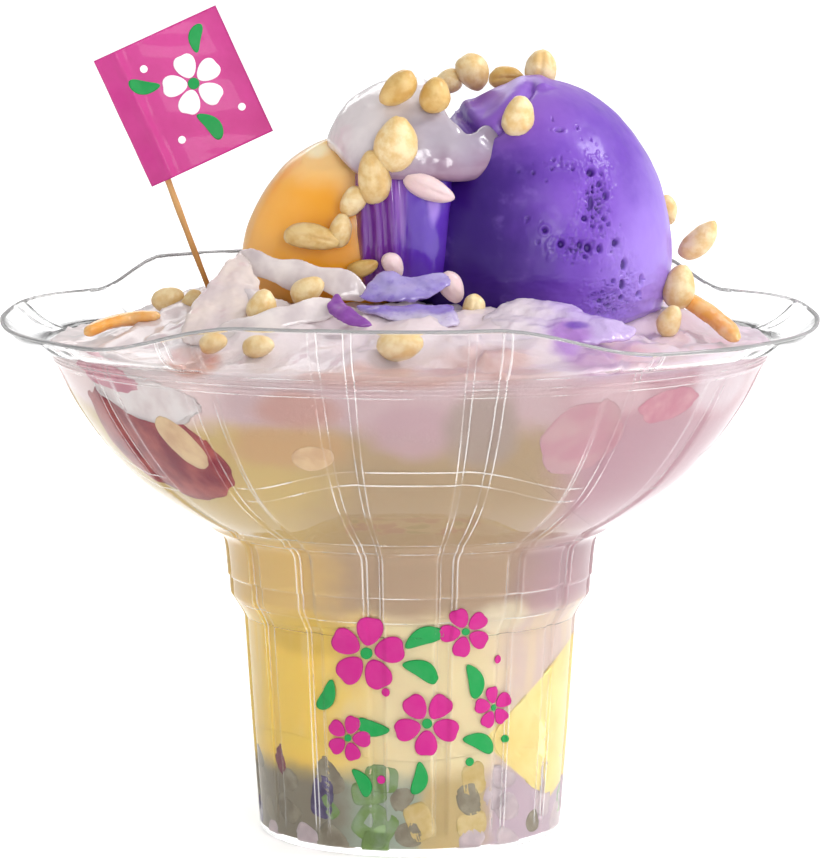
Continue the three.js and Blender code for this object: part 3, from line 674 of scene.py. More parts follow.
def wetFinish(name, colours, size, rough=0.28, soft=0.25, radius=(1, 0.75, 0.7), bump=0.1, grain=1.2, gloss=1):
    finish = Finish(name, Roughness=rough, Coat_Roughness=0.1, Subsurface_Weight=soft,
                    Subsurface_Scale=0.003, Subsurface_Radius=radius, Specular_IOR_Level=0.5 * gloss)
    spots = finish.mottle(size, 3)
    if colours:
        finish.surface(Base_Color=finish.between(spots, 0.33, 0.68, *colours))
    finish.surface(Coat_Weight=gloss * (0.2 + 0.4 * spots))
    finish.bump(finish.mottle(grain, 2), bump)
    return finish


def behindPlastic(name, colours, size, rough=0.28):
    return wetFinish(name, colours, size, rough, bump=0.03, gloss=0.1)


wedge = {"place": (33, -8, 27), "half": (15.6, 23.6, 10.6), "lean": -43, "tints": ("#fce8a4", "#f5da8c")}


def behindWedge(finish, colour):  # the wedge's own colour on the layers it is pressed into
    x, z = finish.axis("x") - wedge["place"][0], finish.axis("z") - wedge["place"][2]
    lean = math.radians(wedge["lean"])
    along = finish.maths("ABSOLUTE", x * math.cos(lean) - z * math.sin(lean), 0)
    across = finish.maths("ABSOLUTE", x * math.sin(lean) + z * math.cos(lean), 0)
    half = wedge["half"]
    inside = [1 - finish.step(value, end - 0.5, end) for value, end in ((along, half[0]), (across, half[2]))]
    tint = finish.between(finish.mottle(12), 0.33, 0.68, *wedge["tints"])
    return finish.blend(inside[0] * inside[1] * (1 - finish.step(finish.axis("y"), 14, 15)), colour, tint)


def makeFilling():
    ice = wetFinish("milk_ice", None, 4, 0.3, 0.3, (1, 0.85, 0.85), 0.45, 1.4, 0.1)
    colour, quick = fillingColour(ice)
    top = ice.step(ice.axis("z"), 103, 105)
    ice.surface(Base_Color=ice.over(colour, (ice.step(quick, 0.5, 0.75) * top * 0.3, "#ebe0e6")))
    ice.surface(Coat_Weight=top * (0.3 + 0.6 * quick))
    soaked = behindPlastic("soaked_ice", None, 5, 0.3)
    soaked.surface(Base_Color=fillingColour(soaked)[0])
    syrup = behindPlastic("fruit_syrup", None, 6, 0.25)
    strands = syrup.step(syrup.mottle(5, 2, 0.5, (1, 1, 0.16)), 0.45, 0.7)
    colour = syrup.over(fillingColour(syrup)[0], (strands * 0.4, "#f0dcae"))
    syrup.surface(Base_Color=behindWedge(syrup, colour))
    layer("ice", under("soaked"), moundHeight, ice, "milk_ice", "shaved_ice", 50, 0.1, 80, crumbled)
    layer("soaked", under("gold"), layerTops["soaked"], soaked, "soaked_ice", "soaked_ice", 40, 0.05)
    layer("syrup", under("heap"), layerTops["gold"], syrup, "fruit_syrup", "golden_layer", 26)


# Pieces held in the filling, flattened where they lie against the wall

sunken = {
    # place, half size, turn, unevenness, how far past the layer, finish, node
    "red_beans": ((-50.4, -39.2, 88.2), (18.6, 13.8, 10), (127, 15, -42), 0.14, 0.16, "red_bean", "red_bean_mass"),
    "pale_bean": ((-44.6, -49.4, 89.4), (7.2, 4.4, 6), (144, 44, -3), 0.08, 0.26, "cream_bean", None),
    "white_jelly": ((-52.8, -47.8, 98.2), (16, 5, 7), (117, 6, -46), 0.2, 0.2, "coconut_jelly", "coconut_jelly"),
    "pink_jelly_1": ((-58, -41, 101.2), (11.5, 7.4, 3.2), (0, 6, -56), 0.22, 0.3, "pink_jelly", "pink_jelly_left"),
    "pink_jelly_2": ((32.6, -57.4, 92.4), (10.4, 6.8, 10), (24, 0, 28), 0.1, 0.16, "rose_jelly",
                     "pink_jelly_middle"),
    "pink_jelly_3": ((48.6, -47.2, 97), (10, 7.4, 4.6), (0, -6, 44), 0.14, 0.16, "pink_jelly", "pink_jelly_right"),
    "cream_bean_look": ((-18.6, -60.6, 87.8), (4.8, 6.4, 3.4), (0, -8, 0), 0.05, 0.16, "cream_bean", "cream_bean"),
}
# two tints and the size of their spots
sunkenTints = {
    "red_bean": ("#86283c", "#b25c58", 7), "cream_bean": ("#e6caa2", "#d4b08c", 5),
    "coconut_jelly": ("#ede4e2", "#ddcfce", 6), "pink_jelly": ("#cc8c9b", "#dcacb4", 7),
    "rose_jelly": ("#c898a2", "#cda9ac", 9),
}


def held(points, deeper):  # points past the wall are brought back to it
    angle = np.degrees(np.arctan2(points[:, 1], points[:, 0]))
    limit = cupRadius(points[:, 2], angle, cup["wall"] - filling["reach"] - deeper)
    share = np.minimum(1, limit / np.maximum(np.hypot(points[:, 0], points[:, 1]), 1e-6))
    points[:, :2] *= share[:, None]
    points[:, 2] = np.maximum(points[:, 2], cup["floor"] - 0.1)
    return points


def makeSunken():
    finishes = {name: behindPlastic(name, (a, b), size) for name, (a, b, size) in sunkenTints.items()}
    for name, (place, size, turn, uneven, deeper, finish, node) in sunken.items():

        def shape(d):
            lump = 1 + uneven * waves(d, 1.4, len(name))
            return held(turned(d * size * lump[:, None], turn) + place, deeper)

        slot = "pink_jelly" if finish == "rose_jelly" else finish
        makeMesh(name, ball(shape, 50, 80), finishes[finish], slot, [node] if node else ())


def makeWedge():
    finish = behindPlastic("yellow_jelly", wedge["tints"], 12)

    def shape(d):  # a block with rounded edges, pushed back from the wall
        block = np.sign(d) * np.abs(d) ** 0.28
        points = turned(block * wedge["half"], (0, wedge["lean"], 0)) + wedge["place"]
        room = 30 + 0 * points[:, 0]
        for _ in range(4):
            angle = np.degrees(np.arctan2(-room, points[:, 0]))
            limit = cupRadius(points[:, 2], angle, cup["wall"] - filling["reach"] - 0.2)
            room = np.sqrt(np.maximum(0, limit ** 2 - points[:, 0] ** 2))
        points[:, 1] = np.clip(points[:, 1], -room, room)
        return held(points, 0.2)

    makeMesh("wedge", ball(shape, 80, 150), finish, "yellow_jelly", ["yellow_jelly"])


# Beans and jelly at the bottom of the cup

bottom = {
    "seed": 5, "rows": ((3.8, 21), (8.4, 21), (13.0, 20), (17.2, 15)), "size": 4.5,
    # colours, shape, and how often each comes at the left, left of the middle, right of it and at the right
    "kinds": {
        "bean_grey": (("#8a8170", "#a39b88"), "bean", (4, 1.5, 0.5, 0.5)),
        "bean_maroon": (("#7e4450", "#9a6068"), "bean", (0.9, 0.2, 0.2, 0.25)),
        "jelly_green": (("#7e9a58", "#94a884"), "cube", (0.6, 3, 0.4, 0.1)),
        "jelly_violet": (("#5a5070", "#7a7090"), "cube", (0.25, 0.5, 0.15, 0.15)),
        "jelly_ochre": (("#cfb577", "#dcc794"), "cube", (0.3, 0.5, 4, 0.8)),
        "bean_pale": (("#c4b4b8", "#d6c6c8"), "bean", (0.8, 1.5, 1.2, 4)),
    },
}


def bottomPiece(angle, z, size, kind, random):
    turn = (random.uniform(-35, 35), random.uniform(0, 180), angle + 90)
    inset = cup["wall"] - filling["reach"] - 0.15
    middle = cupRadius(z, angle, inset) - size[1] * 0.62
    place = (middle * math.cos(math.radians(angle)), middle * math.sin(math.radians(angle)), z)

    def shape(d):
        p = np.sign(d) * np.abs(d) ** (0.9 if kind == "bean" else 0.5) * size
        if kind == "bean":
            p[:, 2] += 0.9 * (p[:, 0] / size[0]) ** 2
        return held(turned(p, turn) + place, 0.15)

    return ball(shape, 14, 20)


def makeBottom():
    finish = behindPlastic("bean_mix", None, 6, 0.3)
    wander = 10 * (finish.mottle(9) - 0.5)
    x, z = finish.axis("x") + wander, finish.axis("z")
    colour = finish.between(x, -18, -10, "#938b7a", "#a7b0a0")
    colour = finish.over(colour, (finish.step(x, 0, 5), "#cbb482"), (finish.step(x, 12, 18), "#c8b4be"))
    colour = finish.blend(finish.step(z + wander * 0.6, 14, 20), colour, fillingColour(finish)[0])
    finish.surface(Base_Color=behindWedge(finish, colour))
    layer("mix_core", lambda a, b: 1.9 + 0 * a, layerTops["heap"], finish, "bean_mix", "bean_heap", 20, 0.05)
    random = np.random.default_rng(bottom["seed"])
    names = list(bottom["kinds"])
    chances = np.array([bottom["kinds"][name][2] for name in names])
    parts = {name: [] for name in names}
    for height, count in bottom["rows"]:
        for i in range(count):
            angle = (i + random.uniform(-0.3, 0.3)) / count * 360
            part = int(np.searchsorted((-12, 2, 14), 32 * math.cos(math.radians(angle))))
            name = random.choice(names, p=chances[:, part] / chances[:, part].sum())
            size = bottom["size"] * random.uniform(0.6, 1.1) * np.array([1, 0.8, random.uniform(0.6, 0.95)])
            z = height + random.uniform(-1.8, 1.8)
            parts[name].append(bottomPiece(angle, z, size, bottom["kinds"][name][1], random))
    for name, pieces in parts.items():
        makeMesh(name, join(pieces), behindPlastic(name, bottom["kinds"][name][0], 4), "bean_mix")


# Flowers and leaves printed on the cup

ink = {
    "pink": "#b8147c", "green": "#008e42", "lift": 0.12,
    # middle from the front line and height, radius, turn
    "flowers": [(-9, 43, 8.2, 10), (11.5, 47.5, 5.6, 40), (3.5, 28.5, 7, -20), (-13, 25, 5, 0), (18, 31, 4.6, 25)],
    # foot, length, width, direction in degrees
    "leaves": [
        (-1, 44.5, 8.5, 3.8, 20), (-1.5, 41, 8, 3.6, -28), (-16.5, 37, 7.5, 3.4, -120), (12, 40.5, 7.5, 3.4, -75),
        (-4.2, 27, 7, 3.2, 165), (11, 25, 7.5, 3.4, -25), (2, 20.5, 7, 3, -100), (-12, 18.5, 6.5, 2.8, -60),
    ],
    "dots": [(-18, 32, 0.9), (-5, 35, 0.9), (5, 38, 0.9), (19, 41, 0.9), (12.5, 20, 0.9), (-6, 16.5, 0.9),
             (21, 24, 0.8)],
}


def onCup(across, height, lift):
    angle = -90 + np.degrees(across / np.interp(height, plainLine[:, 1], plainLine[:, 0]))
    return onRound(cupRadius(height, angle) + lift, np.radians(angle), height)


def patch(outline, place, onto, lift, rings=6):  # a thin closed patch laid onto a surface
    middle = outline.mean(0)
    rows = []
    for side, shares in ((1, np.linspace(0, 1, rings + 1)[1:]), (-0.4, np.linspace(1, 0, rings + 1)[:-1])):
        for share in shares:
            flat = middle + (outline - middle) * share + place
            rows.append(onto(flat[:, 0], flat[:, 1], lift * side))
    ends = [onto(*(middle + place)[:, None], lift * side)[0] for side in (1, -0.4)]
    return skin(np.array(rows), *ends)


def roundAbout(count):  # angles of a full turn
    return np.linspace(0, 2 * math.pi, count, endpoint=False)


def spun(along, side, turn):  # a flat outline turned by degrees
    angle = math.radians(turn)
    cos, sin = math.cos(angle), math.sin(angle)
    return stacked(along * cos - side * sin, along * sin + side * cos)


def petals(radius, turn, count=5):
    t = roundAbout(40)
    long = radius * (0.6 + 0.4 * np.cos(t) - 0.05 * np.exp(-(np.minimum(t, 2 * math.pi - t) / 0.35) ** 2))
    wide = radius * 0.33 * np.sin(t) * (1 + 0.25 * np.cos(t))
    return [spun(long, wide, turn + i * 360 / count) for i in range(count)]


def leafLine(length, width, turn):
    t = roundAbout(40)
    along = length * (0.5 - 0.5 * np.cos(t))
    side = width / 2 * np.sin(t) * (1 - 0.25 * np.cos(t)) + 0.12 * length * np.sin(along / length * math.pi)
    return spun(along, side, turn)


def disc(radius):
    t = roundAbout(20)
    return radius * stacked(np.cos(t), np.sin(t))


def inkFinish(name, colour):
    finish = Finish(name, Roughness=0.5, Specular_IOR_Level=0.15)
    finish.surface(Base_Color=finish.over(paint(colour), (finish.mottle(3) * 0.04, "#f2e4ec")))
    return finish


def makePrint():
    def printed(outline, x, z):
        return patch(outline, np.array([x, z]), onCup, ink["lift"])

    pink, green = [], []
    for x, z, radius, turn in ink["flowers"]:
        pink += [printed(petal, x, z) for petal in petals(radius, turn)]
        green.append(printed(disc(radius * 0.15), x, z))
    green += [printed(leafLine(*leaf), x, z) for x, z, *leaf in ink["leaves"]]
    for i, (x, z, radius) in enumerate(ink["dots"]):
        (pink if i % 2 else green).append(printed(disc(radius), x, z))
    makeMesh("print_pink", join(pink), inkFinish("pink_ink", ink["pink"]), "flag_paper")
    makeMesh("print_green", join(green), inkFinish("green_ink", ink["green"]), "flag_paper")


# Purple yam scoop

scoop = {"place": (26, -3, 120), "size": (28.6, 27.2, 38.2), "under": 14, "foot": 0.45}
# Wider hollows with ragged floors: x and z of the middle, half width, half height and depth
hollows = [(37.2, 134.2, 2.7, 6.0, 0.9), (34.0, 125.2, 4.4, 1.9, 0.8), (41.4, 125.0, 1.7, 2.0, 0.5),
           (39.8, 113.6, 3.2, 3.6, 0.6), (44.0, 118.4, 1.6, 4.6, 0.4), (31.4, 141.8, 2.6, 0.8, 0.3)]
# Air bubbles that the scoop has cut open: x and z of the middle, half width and half height
airPits = [
    (36.7, 140.3, 1.0, 1.0), (38.5, 138.0, 0.7, 0.9), (39.7, 135.6, 0.7, 1.2), (36.8, 134.3, 0.8, 2.0),
    (35.4, 131.2, 0.9, 0.8), (38.4, 132.4, 0.6, 0.6), (39.3, 131.0, 0.6, 0.7), (37.0, 129.6, 0.6, 0.6),
    (38.6, 129.2, 0.5, 0.5), (40.2, 129.8, 0.5, 0.6), (30.5, 126.1, 0.9, 1.0), (31.8, 124.9, 0.5, 0.5),
    (33.2, 125.0, 0.6, 0.5), (34.4, 125.8, 0.8, 1.1), (36.1, 125.2, 1.0, 1.2), (35.4, 123.4, 0.6, 0.6),
    (33.0, 123.2, 0.4, 0.4), (38.4, 124.9, 0.7, 1.1), (41.8, 126.0, 0.9, 1.0), (41.0, 124.2, 0.5, 0.5),
    (43.5, 121.4, 0.8, 1.5), (43.3, 117.3, 0.8, 1.5), (43.0, 114.6, 0.7, 0.8), (41.2, 118.2, 0.5, 0.6),
    (39.0, 116.0, 0.5, 0.5), (38.6, 114.0, 0.8, 0.7), (40.4, 113.0, 0.6, 0.7), (41.6, 112.0, 0.5, 0.5),
    (38.4, 111.6, 0.5, 0.5), (36.8, 115.4, 0.4, 0.4), (47.1, 118.0, 0.5, 1.4), (46.6, 115.0, 0.6, 0.9),
    (30.3, 148.6, 1.1, 0.5), (34.0, 149.0, 0.4, 0.4), (29.0, 142.8, 0.5, 0.4), (30.4, 142.2, 0.5, 0.4),
    (31.6, 141.9, 0.5, 0.4), (32.9, 141.0, 0.5, 0.5), (28.6, 141.0, 0.4, 0.4), (24.9, 140.2, 0.45, 0.45),
    (27.2, 128.9, 0.7, 0.7), (23.8, 131.2, 0.4, 0.4),
]


def pitDepth(points, random):
    extra = []
    for x, z, wide, high in airPits:
        for _ in range(2):
            extra.append((x + random.normal(0, 1.6), z + random.normal(0, 1.6), random.uniform(0.16, 0.34)))
    holes = airPits + [(x, z, size, size) for x, z, size in extra]
    for _ in range(46):  # a few on the back
        holes.append((random.uniform(0, 50), random.uniform(112, 150), *(random.uniform(0.3, 0.9),) * 2, True))
    depth = np.zeros(len(points))
    rim = np.zeros(len(points))
    for x, z, wide, high, *back in holes:
        near = (points[:, 1] > 2) if back else (points[:, 1] < -3)
        away = np.hypot((points[:, 0] - x) / wide, (points[:, 2] - z) / high)
        size = min(wide, high)
        depth = np.maximum(depth, near * size * 1.25 * (1 - smooth(0.45, 1.05, away)))
        rim = np.maximum(rim, near * size * 0.2 * np.exp(-((away - 1.3) / 0.25) ** 2))
    ragged = 1 + 0.5 * waves(points, 0.9, 6, 2)
    for x, z, wide, high, low in hollows:
        away = np.hypot((points[:, 0] - x) / wide, (points[:, 2] - z) / high) * ragged
        rough = 0.2 + np.abs(waves(points, 1.1, 8, 3)) * 1.6
        depth = np.maximum(depth, (points[:, 1] < -3) * low * (1 - smooth(0.3, 1.1, away)) * rough)
        rim = np.maximum(rim, (points[:, 1] < -3) * 0.16 * np.exp(-((away - 1.2) / 0.2) ** 2))
    return depth, rim * (depth < 0.02)


def foldDepth(points):  # the flap of ice cream over the upper left
    line = curveThrough([(10.5, 151.0), (14, 147.6), (18, 148.4), (22, 152.5), (25, 156.5)], 12)
    gap = np.hypot(points[:, None, 0] - line[None, :, 0], points[:, None, 2] - line[None, :, 1])
    nearest = gap.min(1)
    above = points[:, 2] > np.interp(points[:, 0], line[:, 0], line[:, 1])
    front = points[:, 1] < -3
    groove = -1.0 * np.exp(-(nearest / 0.7) ** 2)
    flap = 0.9 * np.exp(-((nearest - 2.2) / 1.6) ** 2) * above
    return front * (groove + flap)


def makeScoop():
    centre, size = np.array(scoop["place"]), np.array(scoop["size"])
    marks = {}

    def shape(d):
        p = d * size
        below = d[:, 2] < 0
        p[below, 2] *= scoop["under"] / size[2]
        p[below, :2] *= (np.maximum(np.hypot(d[below, 0], d[below, 1]), 0.05) ** (scoop["foot"] - 1))[:, None]
        swell = 0.45 * waves(d, 1.5, 2) + 0.14 * waves(d, 5.0, 4)
        skirt = np.exp(-((p[:, 2] + 9) / 3.0) ** 2) * (0.5 + 0.9 * waves(d, 4.0, 9, 2))
        p += d * (swell + skirt)[:, None] + centre
        depth, rim = pitDepth(p, np.random.default_rng(11))
        # depth of the pits and hollows; the colour also reads it for painted shade
        marks["deep"] = depth
        return p + d * (rim - depth + foldDepth(p))[:, None]

    rise = np.concatenate([np.linspace(-89, -52, 12), np.linspace(-50, 52, 210), np.linspace(53, 89, 40)])
    share = np.linspace(-0.5, 0.5, 360, endpoint=False)
    turn = -62 + 360 * (share - 0.6 * np.sin(2 * math.pi * share) / (2 * math.pi))
    solid = ball(shape, rise, turn)
    finish = Finish("ube_ice_cream", Roughness=0.34, Coat_Roughness=0.14, Specular_IOR_Level=0.3,
                    Subsurface_Weight=0.12, Subsurface_Scale=0.003, Subsurface_Radius=(0.8, 0.5, 1))
    cloud, streak = finish.mottle(16, 4), finish.mottle(5)
    x, z = finish.axis("x"), finish.axis("z")
    wander = 12 * (cloud - 0.5)
    # painted shade: the lower left, turned away from the key light and shaded by the yam block, is darkened
    # towards #2b0768
    paintedShade = (1 - finish.step(x + wander, 14, 36)) * (1 - finish.step(z + wander, 138, 153))
    colour = finish.over(
        finish.between(cloud, 0.3, 0.7, "#6236a6", "#764ab6"),
        # painted light: the right side, facing the key light, and the top are lightened
        (finish.step(x - 0.35 * (z - 120) + wander, 34, 50) * 0.8, "#a184da"),
        (finish.step(z - 0.6 * x + wander, 126, 140) * 0.6, "#8f62bc"),
        (paintedShade * 0.95, "#2b0768"),
        (finish.step(streak, 0.58, 0.8) * 0.25, "#8d68c8"),
        # painted shade in the pits and hollows
        (finish.step(finish.mark("deep"), 0.25, 1.0) * 0.75, "#2c0d66"))
    finish.surface(Base_Color=colour, Coat_Weight=0.25 * finish.step(streak, 0.4, 0.75))
    finish.bump(finish.mottle(0.8, 2), 0.05)
    piece = makeMesh("scoop", solid, finish, "ube_ice_cream", ["ube_scoop"])
    markPoints(piece, "deep", marks["deep"])


# Yam block, flan and the gelled coconut draped over them

halaya = {"place": (-1.1, -13.4, 132.5), "size": (10.9, 12, 20.5)}
flan = {"place": (-13, -7, 121), "size": (22, 14, 26), "under": 11}
drape = {"x": 0, "y": -8, "z": 137, "left": 17.5, "right": 25, "deep": 17.5, "high": 19.5}
drapeOutline = [
    (-60, 40), (-38, 10), (-10, 5), (12, 4), (26, 12), (30, 26), (26, 38), (19, 46),
    (13, 70), (9, 100), (0, 126), (-26, 136), (-50, 120), (-68, 84),
]
drapeTongue = [(10, 6), (30, 5), (42, 14), (48, 30), (46, 46), (37, 50), (30, 39), (18, 32), (8, 24)]


def makeHalaya():
    centre, size = np.array(halaya["place"]), np.array(halaya["size"])
    # x of each upright fold, half width, height
    folds = [(4.4, 3.0, 1.3), (-0.6, 1.0, -0.9), (-2.4, 0.9, 0.7), (-4.2, 0.7, -0.7), (-5.6, 0.8, 0.8),
             (-7.3, 0.6, -0.6), (-8.6, 0.8, 0.7)]

    def shape(d):
        square = np.abs(d).max(1) ** -0.4
        p = d * square[:, None] * size
        lean = 0.5 * np.sin(p[:, 2] * 0.16)
        front = smooth(0, 0.5, -d[:, 1]) * (1 - smooth(0.8, 1.0, np.abs(d[:, 2])))
        for x, wide, high in folds:
            p[:, 1] -= front * high * np.exp(-((p[:, 0] - x + lean) / wide) ** 2)
        return p + centre + d * (0.25 * waves(d, 3.0, 8))[:, None]

    finish = wetFinish("yam_block", None, 5, 0.2, 0.2, (0.7, 0.4, 1))
    x = finish.axis("x")
    run = finish.mottle(3.2, 3, 0.5, (1, 1, 0.14))
    colour = finish.between(x + 5 * (run - 0.5), -5, 1, "#6f2b92", "#5a2cb0")
    pale = finish.step(run, 0.5, 0.66) * (1 - finish.step(x, -3, 1))
    # a painted highlight: a pale upright streak on the right fold
    paintedHighlight = finish.near((4.8, -26, 136), (1.5, 8, 6), 0.3, 4)
    finish.surface(Base_Color=finish.over(colour, (pale * 0.7, "#a877c4"), (paintedHighlight * 0.8, "#a988e0")))
    makeMesh("yam_block", ball(shape, 100, 140), finish, "purple_yam", ["ube_halaya"])


def makeFlan():
    centre, size = np.array(flan["place"]), np.array(flan["size"])
    slope = np.array([-0.15, -0.62, 0.77])
    slope /= np.linalg.norm(slope)

    def shape(d):
        p = d.copy()
        p[:, 1] = np.sign(p[:, 1]) * np.abs(p[:, 1]) ** 0.7
        p[:, 0] += 0.1 * p[:, 2]
        p *= size
        p[d[:, 2] < 0, 2] *= flan["under"] / size[2]
        past = p @ slope - 21.5  # the slanting cut near the top
        p -= slope * (0.85 * np.maximum(past, 0))[:, None]
        return p + centre + d * (0.35 * waves(d, 1.6, 5))[:, None]

    finish = wetFinish("leche_flan", None, 9, 0.3, 0.3, (1, 0.6, 0.25), 0.05)
    x, z = finish.axis("x"), finish.axis("z")
    wander = 8 * (finish.mottle(10) - 0.5)
    finish.surface(Base_Color=finish.over(
        finish.between(x + wander, -34, -16, "#f4b75c", "#f0a414"),
        (finish.step(z + wander + 0.3 * x, 128, 137) * 0.8, "#f8d08e"),
        # a painted highlight near the top edge
        (finish.near((-19.5, -16, 144.5), (3.4, 8, 2.2), 0.4, 4), "#f9e6bc")))
    makeMesh("flan", ball(shape, 90, 130), finish, "leche_flan", ["leche_flan"])


def makeDrape():
    def onto(across, over):
        u, v = np.radians(across), np.radians(over)
        wide = np.where(across > 0, drape["right"], drape["left"])
        x = drape["x"] + wide * np.sin(u)
        y = drape["y"] - drape["deep"] * np.cos(u) * np.cos(v)
        return stacked(x, y, drape["z"] + drape["high"] * np.cos(u) * np.sin(v))

    parts = [sheet(drapeOutline, onto, 4.8), sheet(drapeTongue, onto, 4.6)]
    finish = wetFinish("macapuno", None, 8, 0.16, 0.35, (1, 0.9, 1), 0.03)
    x, z = finish.axis("x"), finish.axis("z")
    cloud = finish.mottle(9)
    wander = 8 * (cloud - 0.5)
    finish.surface(Base_Color=finish.over(
        finish.between(cloud, 0.35, 0.7, "#a298a4", "#b3a9b4"),
        (finish.step(x + wander, 7, 15) * 0.8, "#93859c"),
        (finish.step(z - 0.8 * x + wander, 147, 157) * 0.8, "#e4dbda"),
        ((1 - finish.step(z + wander, 140, 146)) * 0.85, "#8c6a84")))
    evened("drape", parts, finish, "macapuno", ["macapuno_drape"], 0.4, 10, 0.25, 0.16, 7)


# Coconut, fruit and flakes that lie on the ice

strips = {
    # path, width, thickness, tilt, wave, curl, finish
    "coconut_ribbon_1": ([(-35.5, -22, 122.6), (-29, -27, 121.2), (-22, -29.5, 119.6), (-15, -30.5, 118.6),
                          (-8.6, -31, 115.6)], 6.0, 1.7, (0, -1, 0.25), 0.16, 0.5, "coconut"),
    "coconut_ribbon_2": ([(-39, -44, 108.8), (-30, -46, 111.4), (-22, -45, 113.4), (-14, -42, 115)],
                         5.4, 1.6, (0, -1, 0.5), 0.1, 0.4, "coconut"),
    "coconut_ribbon_3": ([(-34, -29, 118.4), (-31, -35, 116), (-27.6, -38, 114.4), (-23.6, -40, 112.6)],
                         4.8, 1.5, (0.5, -1, 0.6), 0.12, 0.4, "coconut"),
    "coconut_ribbon_4": ([(-24, 30, 113.2), (-12, 37, 115), (0, 36, 114.6), (10, 40, 113)],
                         6.6, 1.7, (0.2, 0.6, 1), 0.16, 0.5, "coconut"),
    "jackfruit_strip_right": ([(53, 2, 113.4), (58.5, -8, 112.2), (63.5, -18, 109), (66.4, -26, 106.4)],
                              4.4, 2.8, (-0.4, 0, 1), 0.05, 0.2, "jackfruit"),
    "jackfruit_strip_left": ([(-66, -23, 107.4), (-62, -20, 109), (-57, -18, 109.8), (-51.4, -20, 110.6)],
                             4.4, 2.8, (0, 0.3, 1), 0.05, 0.2, "jackfruit"),
    "jackfruit_strip_back": ([(32, 33, 113.4), (40, 30, 112.6), (48, 24, 110.8), (54, 17, 110)],
                             5.0, 2.6, (0.2, 0.3, 1), 0.05, 0.2, "jackfruit"),
}
flakes = {
    # outline, (x, y, z, slope, bulge, half) of the surface it lies on, thickness, finish, slot
    "coconut_shard": ([(-34.6, 123.4), (-40, 119), (-45.6, 110.6), (-44, 107.6), (-36, 107.4), (-31, 112),
                       (-30.6, 119)], (-38, -46, 106, 1.35, 2, 10), 1.9, "shard", "coconut"),
    "lilac_flake_1": ([(-10, 115.8), (-7, 120), (-3.8, 120.8), (0, 119.9), (6.8, 120.7), (8, 118.1),
                       (1, 115.6)], (2, -42, 112, 1.1, 2, 12), 1.3, "lilac", "lilac_yam"),
    "lilac_flake_2": ([(-11.2, 114.9), (-2, 115), (7.4, 115.2), (9.7, 113.4), (8.9, 111.5), (3, 111.2),
                       (-6, 113)], (1, -52, 109, 1.6, 2, 12), 1.3, "lilac", "lilac_yam"),
    "purple_flake": ([(-14.5, 117.5), (-12.5, 115.4), (-7.4, 111.8), (-12.4, 112), (-16.7, 114.8)],
                     (-10, -53, 110, 1.3, 1, 6), 1.3, "purple", "purple_yam"),
    "pink_shaving": ([(14, 111.6), (20, 115.4), (29, 115.2), (37, 112.8), (45, 110.4), (40, 108.4),
                      (28, 108.6), (18, 108.8)], (29, -50, 108, 2, 3, 18), 2.0, "pink", "pink_ice"),
}


def leaning(x0, y0, z0, slope, bulge, half):  # a surface seen from the front, leaning back and bulging
    return lambda a, b: stacked(a, y0 + (b - z0) * slope - bulge * (1 - ((a - x0) / half) ** 2), b)


def lilacFinish():
    finish = wetFinish("lilac_yam", None, 5, 0.22, 0.35, (0.9, 0.8, 1))
    spots = finish.step(finish.mottle(1.8, 4), 0.5, 0.72)
    z = finish.axis("z") + 2 * (finish.mottle(5) - 0.5)
    streak = finish.step(z, 113.6, 114.4) * (1 - finish.step(z, 116, 117.4))
    finish.surface(Base_Color=finish.over(
        finish.between(finish.mottle(7), 0.35, 0.7, "#9182c0", "#a99dce"),
        (1 - finish.step(z, 113, 114.6), "#bdb1cc"), (streak * 0.35 + spots * 0.3, "#6a41b0")))
    return finish


def makeShreds():
    finishes = {
        "coconut": wetFinish("coconut", ("#e2d8d5", "#c9bdbf"), 7, 0.22, 0.35, (1, 0.95, 0.9), 0.05),
        "shard": wetFinish("coconut_shard", ("#ddcec6", "#ccbdbd"), 9, 0.22, 0.35, (1, 0.95, 0.9), 0.05),
        "jackfruit": wetFinish("jackfruit", ("#eca340", "#f2c488"), 6, 0.25, 0.3, (1, 0.6, 0.3), 0.12, 1),
        "lilac": lilacFinish(),
        "purple": wetFinish("purple_flake", ("#7c3694", "#8d4aa6"), 4, 0.3, 0.2, (0.8, 0.4, 1)),
        "pink": wetFinish("pink_ice", None, 6, 0.26, 0.35, (1, 0.9, 0.95), 0.45, 1.3),
    }
    icy = finishes["pink"]
    wander = 12 * (icy.mottle(6) - 0.5)
    icy.surface(Base_Color=icy.over(
        icy.between(icy.axis("x") + wander, 22, 34, "#d9cbd4", "#bda6d6"),
        (icy.near((31.5, -54, 110.6), (5, 12, 2.6), 0.7, 4) * 0.9, "#a06cbc"),
        (icy.near((33, -52, 111.6), (2.8, 9, 0.8), 0.7, 4) * 0.9, "#6d40ac")))
    for name, (*measures, finish) in strips.items():
        part = strip(*measures)
        evened(name + "_look", [part], finishes[finish], finish, [name], 0.34, 5, 0.16, 0.25, len(name))
    for name, (outline, surface, thick, finish, slot) in flakes.items():
        part = sheet(outline, leaning(*surface), thick, 12, 12, 0.7, len(name), 0.08)
        evened(name + "_look", [part], finishes[finish], slot, [name], 0.34, 3, 0.15, 0.5, len(name))


# Roasted kernels, each where the plain solid of the same name lies

kernelTints = {"kernel_5": 1.0, "kernel_26": 1.2, "kernel_27": 1.2, "kernel_1": 0.7, "kernel_2": 0.72,
               "kernel_4": 0.5, "kernel_15": 0.6, "kernel_18": 0.78, "kernel_9": 0.78}


